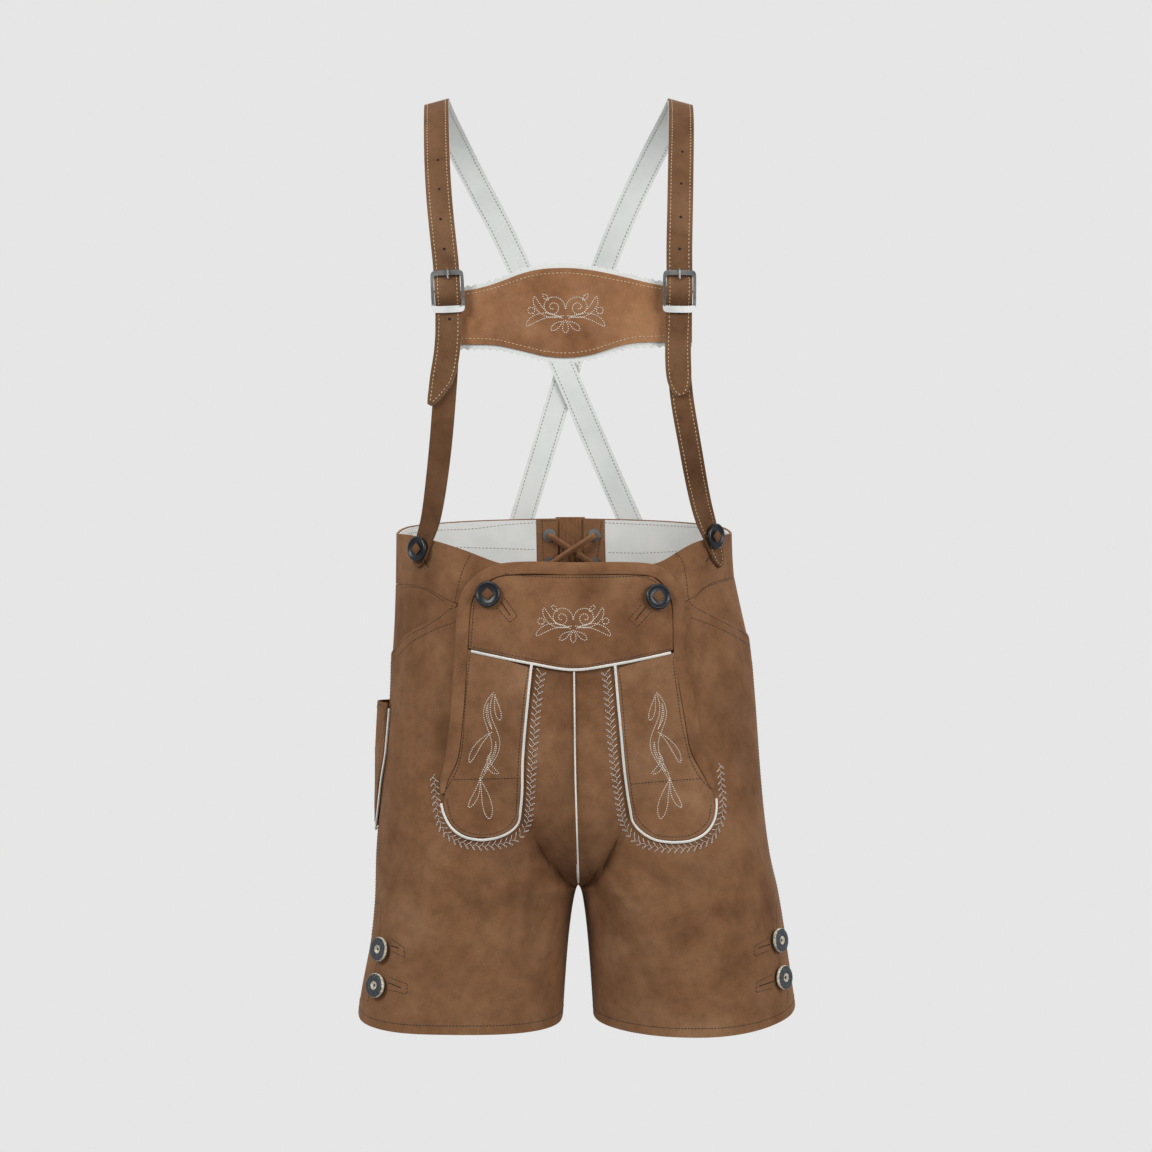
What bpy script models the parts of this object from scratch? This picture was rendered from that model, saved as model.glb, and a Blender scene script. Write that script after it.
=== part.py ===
# Lederhosen: short suede breeches with a drop front and braces, in the form they have when worn.
# The front faces -Y and +Z is up. The origin is where the braces rest on the shoulders, midway.
# Lengths are metres. Left and right are as seen from the front.

import math

import bpy
import numpy as np
from mathutils import Matrix, Vector

MM = 0.001

# Leather thicknesses and the gap between pieces that touch
SUEDE = 1.8 * MM
FLAP_SUEDE = 1.6 * MM
LINING = 1.0 * MM
FACING = 1.2 * MM
GAP = 0.3 * MM

# Main heights below the shoulders
CROTCH = -0.726
HEM = -0.848
BACK_TOP = -0.383
BAND_BOTTOM = -0.444
SLIT_BOTTOM = -0.500

# Form of the sections
SIDE_Y = 0.006
TORSO_SQUARE = 2.3
LEG_SQUARE = 2.15
LEFT_HEM_SQUARE = 3.0
LEG_GAP_AT_HEM = 0.014
FRONT_FORK = 0.075
BACK_FORK = 0.115
LEG_MIX = 0.16
FORK_SPREAD = 0.22
SIDE_SEAM_U = 0.0009

LEFT = -1
RIGHT = 1
SIDES = {"left": LEFT, "right": RIGHT}


# Turns rows of millimetres under named columns into arrays in metres
def table(columns, rows, scale=MM):
    values = np.array(rows, float) * scale
    return {name: values[:, i] for i, name in enumerate(columns.split())}


SECTIONS = table(
    "height left right centre front back",
    [
        (-380, -160.5, 151.0, 1.0, -100, 104),
        (-430, -161.0, 152.5, 2.0, -104, 107),
        (-465, -161.5, 159.0, 3.0, -108, 113),
        (-510, -164.0, 168.5, 4.5, -112, 121),
        (-560, -167.0, 173.5, 5.2, -115, 127),
        (-610, -172.0, 177.0, 5.8, -116, 130),
        (-665, -177.0, 182.0, 7.3, -113, 128),
        (-700, -179.5, 187.0, 8.3, -109, 122),
        (-730, -180.0, 194.0, 8.5, -105, 116),
        (-775, -183.5, 201.5, 8.5, -101, 109),
        (-810, -190.5, 206.5, 8.5, -97, 106),
        (-850, -196.5, 212.5, 8.5, -94, 103),
    ],
)

# Heights of the edges that run round the body; round is 0 at the centre front, 1 at the side, 2 at the back
TOP_EDGE = table(
    "round left right",
    [
        (0.00, -0.4320, -0.4320),
        (0.20, -0.4290, -0.4305),
        (0.26, -0.4246, -0.4295),
        (0.32, -0.4192, -0.4270),
        (0.43, -0.4115, -0.4150),
        (0.52, -0.4070, -0.4080),
        (0.71, -0.4014, -0.4020),
        (1.00, -0.3990, -0.3985),
        (1.15, -0.3935, -0.3935),
        (1.40, -0.3890, -0.3890),
        (1.70, -0.3850, -0.3850),
        (2.00, -0.3830, -0.3830),
    ],
    1,
)
BAND_SEAM = table(
    "round left right",
    [
        (0.00, -0.4640, -0.4640),
        (0.41, -0.4640, -0.4640),
        (0.48, -0.4570, -0.4570),
        (0.57, -0.4495, -0.4465),
        (0.75, -0.4465, -0.4418),
        (1.00, -0.4465, -0.4390),
        (1.20, -0.4450, -0.4410),
        (2.00, -0.4440, -0.4440),
    ],
    1,
)
POCKET_MOUTH = table(
    "round left right",
    [
        (0.00, -0.4643, -0.4643),
        (0.30, -0.4643, -0.4643),
        (0.40, -0.4665, -0.4665),
        (0.54, -0.4806, -0.4743),
        (0.69, -0.4911, -0.4808),
        (0.81, -0.5022, -0.4877),
        (1.00, -0.5150, -0.4980),
    ],
    1,
)
HEM_EDGE = table(
    "round left right",
    [
        (0.00, -0.8470, -0.8470),
        (0.50, -0.8505, -0.8530),
        (0.85, -0.8450, -0.8420),
        (1.00, -0.8400, -0.8365),
        (1.15, -0.8430, -0.8400),
        (1.50, -0.8500, -0.8500),
        (2.00, -0.8470, -0.8470),
    ],
    1,
)

# Soft folds of the leather: place, direction from upright, half length, half width and depth
FOLDS = [
    dict(side=LEFT, round=0.78, height=-0.500, turn=12, length=55, width=11, depth=-3.0),
    dict(side=LEFT, round=0.74, height=-0.575, turn=-10, length=60, width=13, depth=2.2),
    dict(side=RIGHT, round=0.80, height=-0.500, turn=-18, length=50, width=12, depth=-2.6),
    dict(side=RIGHT, round=0.82, height=-0.600, turn=24, length=60, width=14, depth=2.4),
    dict(side=LEFT, round=0.30, height=-0.745, turn=14, length=60, width=10, depth=-3.0),
    dict(side=LEFT, round=0.42, height=-0.775, turn=6, length=55, width=12, depth=2.2),
    dict(side=LEFT, round=0.72, height=-0.770, turn=-6, length=60, width=13, depth=-2.4),
    dict(side=RIGHT, round=0.26, height=-0.735, turn=-38, length=48, width=9, depth=-3.2),
    dict(side=RIGHT, round=0.40, height=-0.765, turn=-30, length=55, width=11, depth=2.4),
    dict(side=RIGHT, round=0.70, height=-0.700, turn=-32, length=60, width=13, depth=-2.6),
    dict(side=RIGHT, round=0.62, height=-0.790, turn=-10, length=50, width=12, depth=2.0),
    dict(side=LEFT, round=1.07, height=-0.832, turn=0, length=16, width=14, depth=4.5),
    dict(side=LEFT, round=1.35, height=-0.640, turn=20, length=60, width=14, depth=2.8),
    dict(side=LEFT, round=1.62, height=-0.720, turn=42, length=55, width=11, depth=-3.4),
    dict(side=LEFT, round=1.50, height=-0.780, turn=8, length=60, width=13, depth=2.2),
    dict(side=LEFT, round=1.70, height=-0.500, turn=-20, length=45, width=12, depth=-2.2),
    dict(side=RIGHT, round=1.32, height=-0.650, turn=-16, length=60, width=15, depth=2.6),
    dict(side=RIGHT, round=1.64, height=-0.715, turn=-46, length=50, width=12, depth=-3.2),
    dict(side=RIGHT, round=1.46, height=-0.785, turn=-6, length=62, width=12, depth=2.4),
    dict(side=RIGHT, round=1.72, height=-0.510, turn=18, length=48, width=11, depth=-2.0),
]
ROUND_LENGTH = 0.27

# Slit at the centre back, and how far out the brown facings beside it reach
SLIT_HALF = 0.0125
FACING_HALF = 0.0335

# Colours of the leathers and metals: base colour, roughness, metallic
FINISHES = {
    "suede": ((0.262, 0.130, 0.064, 1), 0.92, 0),
    "white_leather": ((0.68, 0.70, 0.68, 1), 0.6, 0),
    "dark_horn": ((0.014, 0.018, 0.025, 1), 0.32, 0),
    "antler": ((0.55, 0.50, 0.42, 1), 0.5, 0),
    "nickel": ((0.62, 0.62, 0.61, 1), 0.25, 1),
}


# Slopes that carry a curve through its rows without overshooting them
def even_slopes(along, values):
    steps = np.diff(values) / np.diff(along)
    slopes = [steps[0]]
    for before, after in zip(steps[:-1], steps[1:]):
        level = before * after <= 0
        slopes.append(0.0 if level else 2 * before * after / (before + after))
    return slopes + [steps[-1]]


# Value of one column at a place along the first column, on a smooth curve through the rows
def read(rows, column, place):
    along = next(iter(rows.values()))
    values = rows[column]
    if along[0] > along[-1]:
        along = along[::-1]
        values = values[::-1]
    place = min(max(place, along[0]), along[-1])
    slopes = even_slopes(along, values)
    i = min(int(np.searchsorted(along, place, "right")) - 1, len(along) - 2)
    step = along[i + 1] - along[i]
    t = (place - along[i]) / step
    start = (1 + 2 * t) * (1 - t) ** 2 * values[i] + t * (1 - t) ** 2 * step * slopes[i]
    end = t * t * (3 - 2 * t) * values[i + 1] + t * t * (t - 1) * step * slopes[i + 1]
    return start + end


def side_name(side):
    return "left" if side == LEFT else "right"


def edge(rows, side, u):
    return read(rows, side_name(side), u)


# Point of a rounded-square curve of unit size
def rounded(angle, square):
    cosine = math.cos(angle)
    sine = math.sin(angle)
    power = 2 / square
    return (
        math.copysign(abs(cosine) ** power, cosine),
        math.copysign(abs(sine) ** power, sine),
    )


# How far the section has turned from one torso into two legs, 0 to 1
def leg_share(u, z):
    if z <= CROTCH:
        return 1.0
    fork = FRONT_FORK if u < 1 else BACK_FORK
    from_centre = min(u, 2 - u)
    t = min(1.0, (z - CROTCH) / fork)
    near = math.exp(-((from_centre / (FORK_SPREAD * (0.25 + 0.75 * math.sqrt(t)))) ** 2))
    at_seam = 1 - math.sqrt(1 - (1 - t) ** 2)
    t = min(1.0, (z - CROTCH) / LEG_MIX)
    away = 1 - t * t * (3 - 2 * t)
    return near * at_seam + (1 - near) * away


# Outer surface of the worn garment without its folds
def plain_body(side, u, z):
    centre = read(SECTIONS, "centre", z)
    reach = abs(read(SECTIONS, side_name(side), z) - centre)
    depth = SIDE_Y - read(SECTIONS, "front", z) if u < 1 else read(SECTIONS, "back", z) - SIDE_Y
    torso_x, torso_y = rounded(math.radians(90 * (u - 1)), TORSO_SQUARE)
    below = max(0.0, CROTCH - z) / (CROTCH - HEM)
    gap = LEG_GAP_AT_HEM * math.sqrt(below)
    square = LEG_SQUARE
    if side == LEFT and z < CROTCH:
        square += (LEFT_HEM_SQUARE - LEG_SQUARE) * below
    leg_x, leg_y = rounded(math.radians(180 * (u - 1)), square)
    half = (reach - gap) / 2
    share = leg_share(u, z)
    across = (1 - share) * reach * torso_x + share * (gap + half + half * leg_x)
    return Vector((
        centre + side * (across + GAP / 2),
        SIDE_Y + depth * ((1 - share) * torso_y + share * leg_y),
        z,
    ))


def body_normal(side, u, z):
    du = 0.004
    dz = 0.0015
    low = max(0.0, u - du)
    high = min(2.0, u + du)
    along = plain_body(side, high, z) - plain_body(side, low, z)
    up = plain_body(side, u, z + dz) - plain_body(side, u, z - dz)
    return (side * along.cross(up)).normalized()


def fold_depth(side, u, z):
    total = 0.0
    for fold in FOLDS:
        if fold["side"] != side:
            continue
        turn = math.radians(fold["turn"])
        across = (u - fold["round"]) * ROUND_LENGTH
        up = z - fold["height"]
        along = up * math.cos(turn) + across * math.sin(turn)
        aside = across * math.cos(turn) - up * math.sin(turn)
        reach = (along / (fold["length"] * MM)) ** 2 + (aside / (fold["width"] * MM)) ** 2
        total += fold["depth"] * MM * math.exp(-reach)
    return total


# Point of the garment's skin, moved out along its normal
def skin(side, u, z, out=0.0):
    return plain_body(side, u, z) + body_normal(side, u, z) * (fold_depth(side, u, z) + out)


def material(finish):
    if finish in bpy.data.materials:
        return bpy.data.materials[finish]
    made = bpy.data.materials.new(finish)
    made.use_nodes = True
    colour, roughness, metallic = FINISHES[finish]
    shader = made.node_tree.nodes["Principled BSDF"]
    shader.inputs["Base Color"].default_value = colour
    shader.inputs["Roughness"].default_value = roughness
    shader.inputs["Metallic"].default_value = metallic
    return made


def collection_named(name):
    made = bpy.data.collections.new(name)
    bpy.context.scene.collection.children.link(made)
    return made


def add_object(name, mesh, finish):
    mesh.materials.append(material(finish))
    made = bpy.data.objects.new(name, mesh)
    bpy.data.collections["lederhosen"].objects.link(made)
    return made


# Closed wall between an outer and an inner sheet of points, each a list of rows of equal length
def wall(name, outer, inner, finish):
    rows = len(outer)
    columns = len(outer[0])
    points = [p for row in outer for p in row] + [p for row in inner for p in row]
    back = rows * columns
    faces = []
    for r in range(rows - 1):
        for c in range(columns - 1):
            a = r * columns + c
            far = a + columns + 1
            faces.append((a, a + columns, far, a + 1))
            faces.append((back + a, back + a + 1, back + far, back + a + columns))
    rim = list(range(columns))
    rim += [r * columns + columns - 1 for r in range(1, rows)]
    rim += [(rows - 1) * columns + c for c in range(columns - 2, -1, -1)]
    rim += [r * columns for r in range(rows - 2, 0, -1)]
    for a, b in zip(rim, rim[1:] + rim[:1]):
        faces.append((a, b, back + b, back + a))
    mesh = bpy.data.meshes.new(name)
    mesh.from_pydata(points, [], faces)
    made = add_object(name, mesh, finish)
    face_outwards(made)
    mesh.shade_smooth()
    mesh.set_sharp_from_angle(angle=math.radians(50))
    return made


# Turns a closed mesh inside out if its volume is negative
def face_outwards(made):
    mesh = made.data
    mesh.calc_loop_triangles()
    volume = 0.0
    for triangle in mesh.loop_triangles:
        a, b, c = (mesh.vertices[i].co for i in triangle.vertices)
        volume += a.dot(b.cross(c))
    if volume < 0:
        mesh.flip_normals()


# Wall that follows the body between two heights at each place round it
def body_wall(name, side, rounds, heights_at, outer, thick, finish):
    out_sheet = []
    in_sheet = []
    for row in range(len(heights_at(rounds[0]))):
        places = [(u, heights_at(u)[row]) for u in rounds]
        out_sheet.append([skin(side, u, z, outer(u, z)) for u, z in places])
        in_sheet.append([skin(side, u, z, outer(u, z) - thick) for u, z in places])
    return wall(name, out_sheet, in_sheet, finish)


def spread(start, end, count):
    return [start + (end - start) * i / count for i in range(count + 1)]


# Place round the body that lies a distance from the centre, at one height
def round_at(side, z, distance, back=False):
    centre = read(SECTIONS, "centre", z)
    low, high = (1.0, 2.0) if back else (0.0, 1.0)
    for _ in range(26):
        middle = (low + high) / 2
        beyond = abs(plain_body(side, middle, z).x - centre) > distance
        if beyond == back:
            low = middle
        else:
            high = middle
    return (low + high) / 2


# Places round the body where the front pieces and the back waist have their points
FRONT_ROUNDS = spread(0, 0.4, 7)[:-1] + spread(0.4, 1 - SIDE_SEAM_U, 9)


def back_rounds(side):
    facing = round_at(side, -0.41, FACING_HALF, True)
    slit = round_at(side, -0.41, SLIT_HALF, True)
    return spread(1 + SIDE_SEAM_U, facing, 9), spread(facing + 0.0015, slit, 2)


# Rows of a leg panel: level at the middle, following the top and hem edges near them
PANEL_ROWS = [-0.470, -0.492, -0.518, -0.548, -0.580, -0.612, -0.642, -0.668, -0.690, -0.706, -0.717,
              CROTCH + 0.0025, CROTCH, CROTCH - 0.003, CROTCH - 0.010, -0.752, -0.775, -0.800, -0.825, HEM]
TOP_BLEND = 0.13
HEM_BLEND = 0.07


def panel_heights(side, u, top):
    top_shift = top(u) - PANEL_ROWS[0]
    hem_shift = edge(HEM_EDGE, side, u) - HEM
    heights = []
    for row in PANEL_ROWS:
        near_top = max(0.0, 1 - (PANEL_ROWS[0] - row) / TOP_BLEND)
        near_hem = max(0.0, 1 - (row - HEM) / HEM_BLEND)
        heights.append(row + top_shift * near_top + hem_shift * near_hem)
    return heights


# Lip of the slanted pocket mouth, which stands a little off the hip yoke
LIP_RISE = 1.4 * MM
LIP_FADE = 0.022


def build_front_panels():
    for name, side in SIDES.items():
        def top(u, side=side):
            return edge(POCKET_MOUTH, side, u)

        def outer(u, z, side=side):
            at_mouth = math.exp(-(((top(u, side) - z) / LIP_FADE) ** 2))
            return LIP_RISE * at_mouth * min(1.0, max(0.0, (u - 0.38) / 0.08))

        body_wall(
            f"front_panel_{name}", side, FRONT_ROUNDS,
            lambda u, side=side, top=top: panel_heights(side, u, top), outer, SUEDE, "suede",
        )


def build_hip_yokes():
    for name, side in SIDES.items():
        rounds = [u for u in FRONT_ROUNDS if u >= 0.4]

        def heights(u, side=side):
            top = edge(BAND_SEAM, side, u) - GAP
            bottom = edge(POCKET_MOUTH, side, u) + GAP
            return spread(top, bottom, 2)

        body_wall(f"hip_yoke_{name}", side, rounds, heights, lambda u, z: 0.0, SUEDE, "suede")


def build_front_waistbands():
    for name, side in SIDES.items():
        def heights(u, side=side):
            return spread(edge(TOP_EDGE, side, u), edge(BAND_SEAM, side, u) + GAP, 3)

        body_wall(
            f"front_waistband_{name}", side, FRONT_ROUNDS, heights, lambda u, z: 0.0, SUEDE, "suede"
        )


def slit_half(z):
    down = (BAND_BOTTOM - z) / (BAND_BOTTOM - SLIT_BOTTOM)
    return SLIT_HALF * (1 - min(1.0, max(0.0, down)))


def build_back_panels():
    for name, side in SIDES.items():
        shares = spread(0, 0.75, 8)[:-1] + spread(0.75, 1, 4)
        out_sheet = []
        in_sheet = []
        for row in range(len(PANEL_ROWS)):
            heights = [
                panel_heights(side, 1 + share, lambda u: edge(BAND_SEAM, side, u) - GAP)[row]
                for share in shares
            ]
            inner_end = 2 - SIDE_SEAM_U
            if heights[-1] > SLIT_BOTTOM:
                inner_end = round_at(side, heights[-1], slit_half(heights[-1]) + GAP / 2, True)
            start = 1 + SIDE_SEAM_U
            places = [(start + (inner_end - start) * s, z) for s, z in zip(shares, heights)]
            out_sheet.append([skin(side, u, z) for u, z in places])
            in_sheet.append([skin(side, u, z, -SUEDE) for u, z in places])
        wall(f"back_panel_{name}", out_sheet, in_sheet, "suede")


def build_back_waistbands():
    for name, side in SIDES.items():
        lined, faced = back_rounds(side)

        def heights(u, side=side):
            return spread(edge(TOP_EDGE, side, u), edge(BAND_SEAM, side, u) + GAP, 3)

        body_wall(
            f"back_waistband_{name}", side, lined + faced, heights, lambda u, z: 0.0, SUEDE, "suede"
        )


# Inside of the back: white lining, then the brown facings that carry the eyelets
def build_back_inside():
    inner = -SUEDE - GAP
    for name, side in SIDES.items():
        lined, faced = back_rounds(side)

        def heights(u, side=side):
            return spread(edge(TOP_EDGE, side, u) - 1 * MM, edge(BAND_SEAM, side, u) + 1 * MM, 3)

        body_wall(
            f"waist_lining_{name}", side, lined, heights, lambda u, z: inner, LINING, "white_leather"
        )
        body_wall(
            f"eyelet_facing_{name}", side, faced, heights, lambda u, z: inner, FACING, "suede"
        )


# The drop front lies on the body, and stands a little off it towards its buttoned top
REST = 1.15 * MM
FLAP_LIFT = 2.6 * MM
FLAP_LIFT_FROM = -0.560
FLAP_LIFT_OVER = 0.120
BINDING_WIDTH = 11.2 * MM
BINDING_TIP_WIDTH = 4.0 * MM
BINDING_THICK = 3.0 * MM
PIPING_RADIUS = 1.15 * MM
CENTRE_PIPING_RADIUS = 0.7 * MM
PIPING_ROOM = PIPING_RADIUS + GAP

# Outlines on the front, across and height in millimetres, from the top down
BINDING_LEFT = [(3, -427.4), (-48, -427), (-66, -429.2), (-78, -435.6), (-87.2, -443.5), (-93.8, -452.4),
                (-97.5, -468), (-99.4, -494), (-102, -530), (-106.4, -581), (-110, -606), (-114.5, -623),
                (-114, -634)]
BINDING_RIGHT = [(3, -427.4), (60, -427.4), (76, -428.8), (87, -435), (95, -444.6), (100.6, -456),
                 (102.8, -475), (103.9, -508), (108, -532), (113.5, -562), (118.5, -591.7), (125, -611),
                 (129.5, -628)]
YOKE_FLAT = 0.05
YOKE_SEAM = [(-90, -504.8), (-32, -516.9), (3.5, -522.6), (40, -517.6), (94, -506.2)]
POCKET_INNER = {
    "left": [(-31.9, -517), (-36.4, -552.4), (-40.4, -600), (-42.4, -646), (-45.2, -659), (-52.4, -667.6),
             (-64, -672.9), (-78, -674.9)],
    "right": [(40.3, -518), (45.6, -571), (50.2, -621), (53.5, -643), (58.2, -659), (66, -668.2),
              (77.6, -674.8), (92, -676.8)],
}
POCKET_OUTER = {
    "left": [(-114, -634), (-113, -645), (-109.6, -655.5), (-103.5, -665), (-93, -672), (-78, -674.9)],
    "right": [(129.5, -628), (131.8, -643), (129.6, -658), (121.7, -669), (109.2, -675.2), (92, -676.8)],
}


# Even steps along a smooth curve through a few points, in metres
def path_through(points, steps):
    corners = [np.array(p, float) * MM for p in points]
    lengths = [0.0]
    for a, b in zip(corners[:-1], corners[1:]):
        lengths.append(lengths[-1] + float(np.linalg.norm(b - a)))
    along = np.array(lengths)
    rows = {"along": along}
    for axis in range(len(corners[0])):
        rows[str(axis)] = np.array([corner[axis] for corner in corners])
    fine = [
        np.array([soft_read(rows, str(axis), d) for axis in range(len(corners[0]))])
        for d in np.linspace(0, along[-1], 12 * len(corners))
    ]
    walked = [0.0]
    for a, b in zip(fine[:-1], fine[1:]):
        walked.append(walked[-1] + float(np.linalg.norm(b - a)))
    even = np.linspace(0, walked[-1], steps + 1)
    columns = [np.interp(even, walked, [p[axis] for p in fine]) for axis in range(len(corners[0]))]
    return [tuple(float(v) for v in p) for p in zip(*columns)]


# As read, but rounder, for outlines
def soft_read(rows, column, place):
    along = rows["along"]
    values = rows[column]
    slopes = np.gradient(values, along)
    i = min(int(np.searchsorted(along, place, "right")) - 1, len(along) - 2)
    step = along[i + 1] - along[i]
    t = (place - along[i]) / step
    start = (1 + 2 * t) * (1 - t) ** 2 * values[i] + t * (1 - t) ** 2 * step * slopes[i]
    end = t * t * (3 - 2 * t) * values[i + 1] + t * t * (t - 1) * step * slopes[i + 1]
    return start + end


# Moves a flat path sideways: positive distances go to the left of its direction
def beside(path, distance):
    moved = []
    for i, point in enumerate(path):
        before = path[max(0, i - 1)]
        after = path[min(len(path) - 1, i + 1)]
        run = Vector((after[0] - before[0], after[1] - before[1])).normalized()
        far = distance(i / (len(path) - 1)) if callable(distance) else distance
        moved.append((point[0] - run.y * far, point[1] + run.x * far))
    return moved


def flap_lift(z):
    t = min(1.0, max(0.0, (z - FLAP_LIFT_FROM) / FLAP_LIFT_OVER))
    return REST + FLAP_LIFT * t * t * (3 - 2 * t)


# Point on the front of the body, across and up, moved out from it
def on_front(x, z, out):
    side = LEFT if x < read(SECTIONS, "centre", z) else RIGHT
    distance = abs(x - read(SECTIONS, "centre", z))
    return skin(side, round_at(side, z, distance), z, out)


def on_flap(x, z, out):
    return on_front(x, z, flap_lift(z) + out)


# Wall on the flap ruled between two paths of equal length
def flap_wall(name, first, second, across, crown, thick, finish):
    outer = []
    inner = []
    for a, b in zip(first, second):
        shares = spread(0, 1, across)
        places = [(a[0] + (b[0] - a[0]) * s, a[1] + (b[1] - a[1]) * s) for s in shares]
        outer.append([on_flap(x, z, thick + crown(s)) for s, (x, z) in zip(shares, places)])
        inner.append([on_flap(x, z, 0.0) for x, z in places])
    return wall(name, outer, inner, finish)


def binding_width(share):
    keep = min(1.0, (1 - share) / 0.12)
    return BINDING_TIP_WIDTH + (BINDING_WIDTH - BINDING_TIP_WIDTH) * keep


# Outer and inner lines of the binding on one side, from the top centre to the tip
def binding_lines(side, steps):
    outer = path_through(BINDING_LEFT if side == LEFT else BINDING_RIGHT, steps)
    return outer, beside(outer, lambda share: -side * binding_width(share))


def build_flap_binding():
    left_out, left_in = binding_lines(LEFT, 26)
    right_out, right_in = binding_lines(RIGHT, 26)
    outer = left_out[::-1] + right_out[1:]
    inner = left_in[::-1] + right_in[1:]
    flap_wall(
        "flap_binding", outer, inner, 3,
        lambda s: -1.1 * MM if s in (0, 1) else 0.0, BINDING_THICK, "suede",
    )


def height_on(path, x):
    ordered = sorted(path)
    return float(np.interp(x, [p[0] for p in ordered], [p[1] for p in ordered]))


def resampled(path, steps):
    return path_through([(x / MM, z / MM) for x, z in path], steps)


# Side edge of the yoke, just inside the binding, from the flat of its top down to the V seam
def yoke_side(side, seam):
    line = beside(binding_lines(side, 60)[1], -side * 2 * GAP)
    kept = [p for p in line if abs(p[0]) > YOKE_FLAT and p[1] > height_on(seam, p[0])]
    return resampled(kept, 8)


# Yoke of the flap, from the binding down to the V seam
def build_flap_yoke():
    seam = beside(path_through(YOKE_SEAM, 24), PIPING_ROOM)
    left = yoke_side(LEFT, seam)
    right = yoke_side(RIGHT, seam)
    low_left = left[-1]
    low_right = right[-1]
    outer = []
    inner = []
    for i, (a, b) in enumerate(zip(left, right)):
        dip = (i / (len(left) - 1)) ** 3
        out_row = []
        in_row = []
        for share in spread(0, 1, 14):
            x = a[0] + (b[0] - a[0]) * share
            low_x = low_left[0] + (low_right[0] - low_left[0]) * share
            low_z = low_left[1] + (low_right[1] - low_left[1]) * share
            z = a[1] + (b[1] - a[1]) * share + dip * (height_on(seam, low_x) - low_z)
            out_row.append(on_flap(x, z, FLAP_SUEDE))
            in_row.append(on_flap(x, z, 0.0))
        outer.append(out_row)
        inner.append(in_row)
    wall("flap_yoke", outer, inner, "suede")


def build_flap_pockets():
    for name, side in SIDES.items():
        out_line, in_line = binding_lines(side, 60)
        above = beside(in_line, -side * 2 * GAP)
        seam = beside(path_through(YOKE_SEAM, 30), -PIPING_ROOM)
        edge_run = [p for p in above if p[1] < height_on(seam, p[0])]
        foot = beside(path_through(POCKET_OUTER[name], 16), side * -PIPING_ROOM)
        far = edge_run + [p for p in foot if p[1] < edge_run[-1][1] - 0.005]
        inner_line = beside(path_through(POCKET_INNER[name], 24), -side * -PIPING_ROOM)
        near = [p for p in inner_line if p[1] < height_on(seam, p[0])]
        first = resampled(near, 20)[:-1]
        second = resampled(far, 20)[:-1]
        flap_wall(f"flap_pocket_{name}", first, second, 5, lambda s: 0.0, FLAP_SUEDE, "suede")


# Round cord of leather along points, with closed ends
def cord(name, points, radius, finish, sides=4):
    sheet = []
    count = len(points)
    for i, point in enumerate(points):
        run = (points[min(i + 1, count - 1)] - points[max(i - 1, 0)]).normalized()
        across = run.cross(Vector((0, -1, 0.2))).normalized()
        up = across.cross(run).normalized()
        turns = [2 * math.pi * k / sides for k in range(sides)]
        sheet.append([point + (across * math.cos(t) + up * math.sin(t)) * radius for t in turns])
    verts = [p for ring in sheet for p in ring]
    faces = [tuple(range(sides)), tuple((count - 1) * sides + k for k in reversed(range(sides)))]
    for i in range(count - 1):
        for k in range(sides):
            a = i * sides + k
            b = i * sides + (k + 1) % sides
            faces.append((a, a + sides, b + sides, b))
    mesh = bpy.data.meshes.new(name)
    mesh.from_pydata(verts, [], faces)
    made = add_object(name, mesh, finish)
    face_outwards(made)
    mesh.shade_smooth()
    mesh.set_sharp_from_angle(angle=math.radians(75))
    return made


def build_pipings():
    ends = path_through(YOKE_SEAM, 26)[1:-1]
    cord("yoke_piping", [on_flap(x, z, PIPING_RADIUS + 0.2 * MM) for x, z in ends], PIPING_RADIUS,
         "white_leather")
    for name in SIDES:
        down = path_through(POCKET_INNER[name], 30)[1:]
        up = path_through(POCKET_OUTER[name], 14)[::-1][1:-2]
        run = [p for p in down + up if p[1] < -0.5205 or abs(p[0]) > 0.06]
        cord(f"pocket_piping_{name}", [on_flap(x, z, PIPING_RADIUS) for x, z in run], PIPING_RADIUS,
             "white_leather")
    points = []
    for z in spread(-0.527, -0.706, 16):
        facing = (body_normal(LEFT, 0, z) + body_normal(RIGHT, 0, z)).normalized()
        middle = (skin(LEFT, 0, z) + skin(RIGHT, 0, z)) / 2
        points.append(middle + facing * (CENTRE_PIPING_RADIUS + REST))
    cord("centre_piping", points, CENTRE_PIPING_RADIUS, "white_leather")


KNIFE_POCKET_ROUND = 0.19
KNIFE_PIPING_RADIUS = 1.0 * MM

# Small pocket on the left side seam: front edge, back edge and how far it bulges, by height
KNIFE_POCKET = table(
    "height front back bulge",
    [
        (-0.5560, 0.860, 1.200, 0.0095),
        (-0.5800, 0.858, 1.200, 0.0085),
        (-0.6020, 0.855, 1.200, 0.0070),
        (-0.6150, 0.880, 1.185, 0.0060),
        (-0.6310, 0.910, 1.160, 0.0045),
        (-0.6520, 0.925, 1.140, 0.0030),
        (-0.6680, 0.965, 1.100, 0.0010),
        (-0.6750, 0.990, 1.070, 0.0000),
    ],
    1,
)


def knife_pocket_point(share, z, out):
    front = read(KNIFE_POCKET, "front", z)
    u = front + (read(KNIFE_POCKET, "back", z) - front) * share
    bulge = read(KNIFE_POCKET, "bulge", z) * math.sin(math.pi * share) ** 0.7
    return skin(LEFT, u, z, REST + bulge + out)


# Share of the pocket's width that its piping takes on each side
def piping_share(z):
    width = (read(KNIFE_POCKET, "back", z) - read(KNIFE_POCKET, "front", z)) * KNIFE_POCKET_ROUND
    return (KNIFE_PIPING_RADIUS + 3 * GAP) / width


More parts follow.
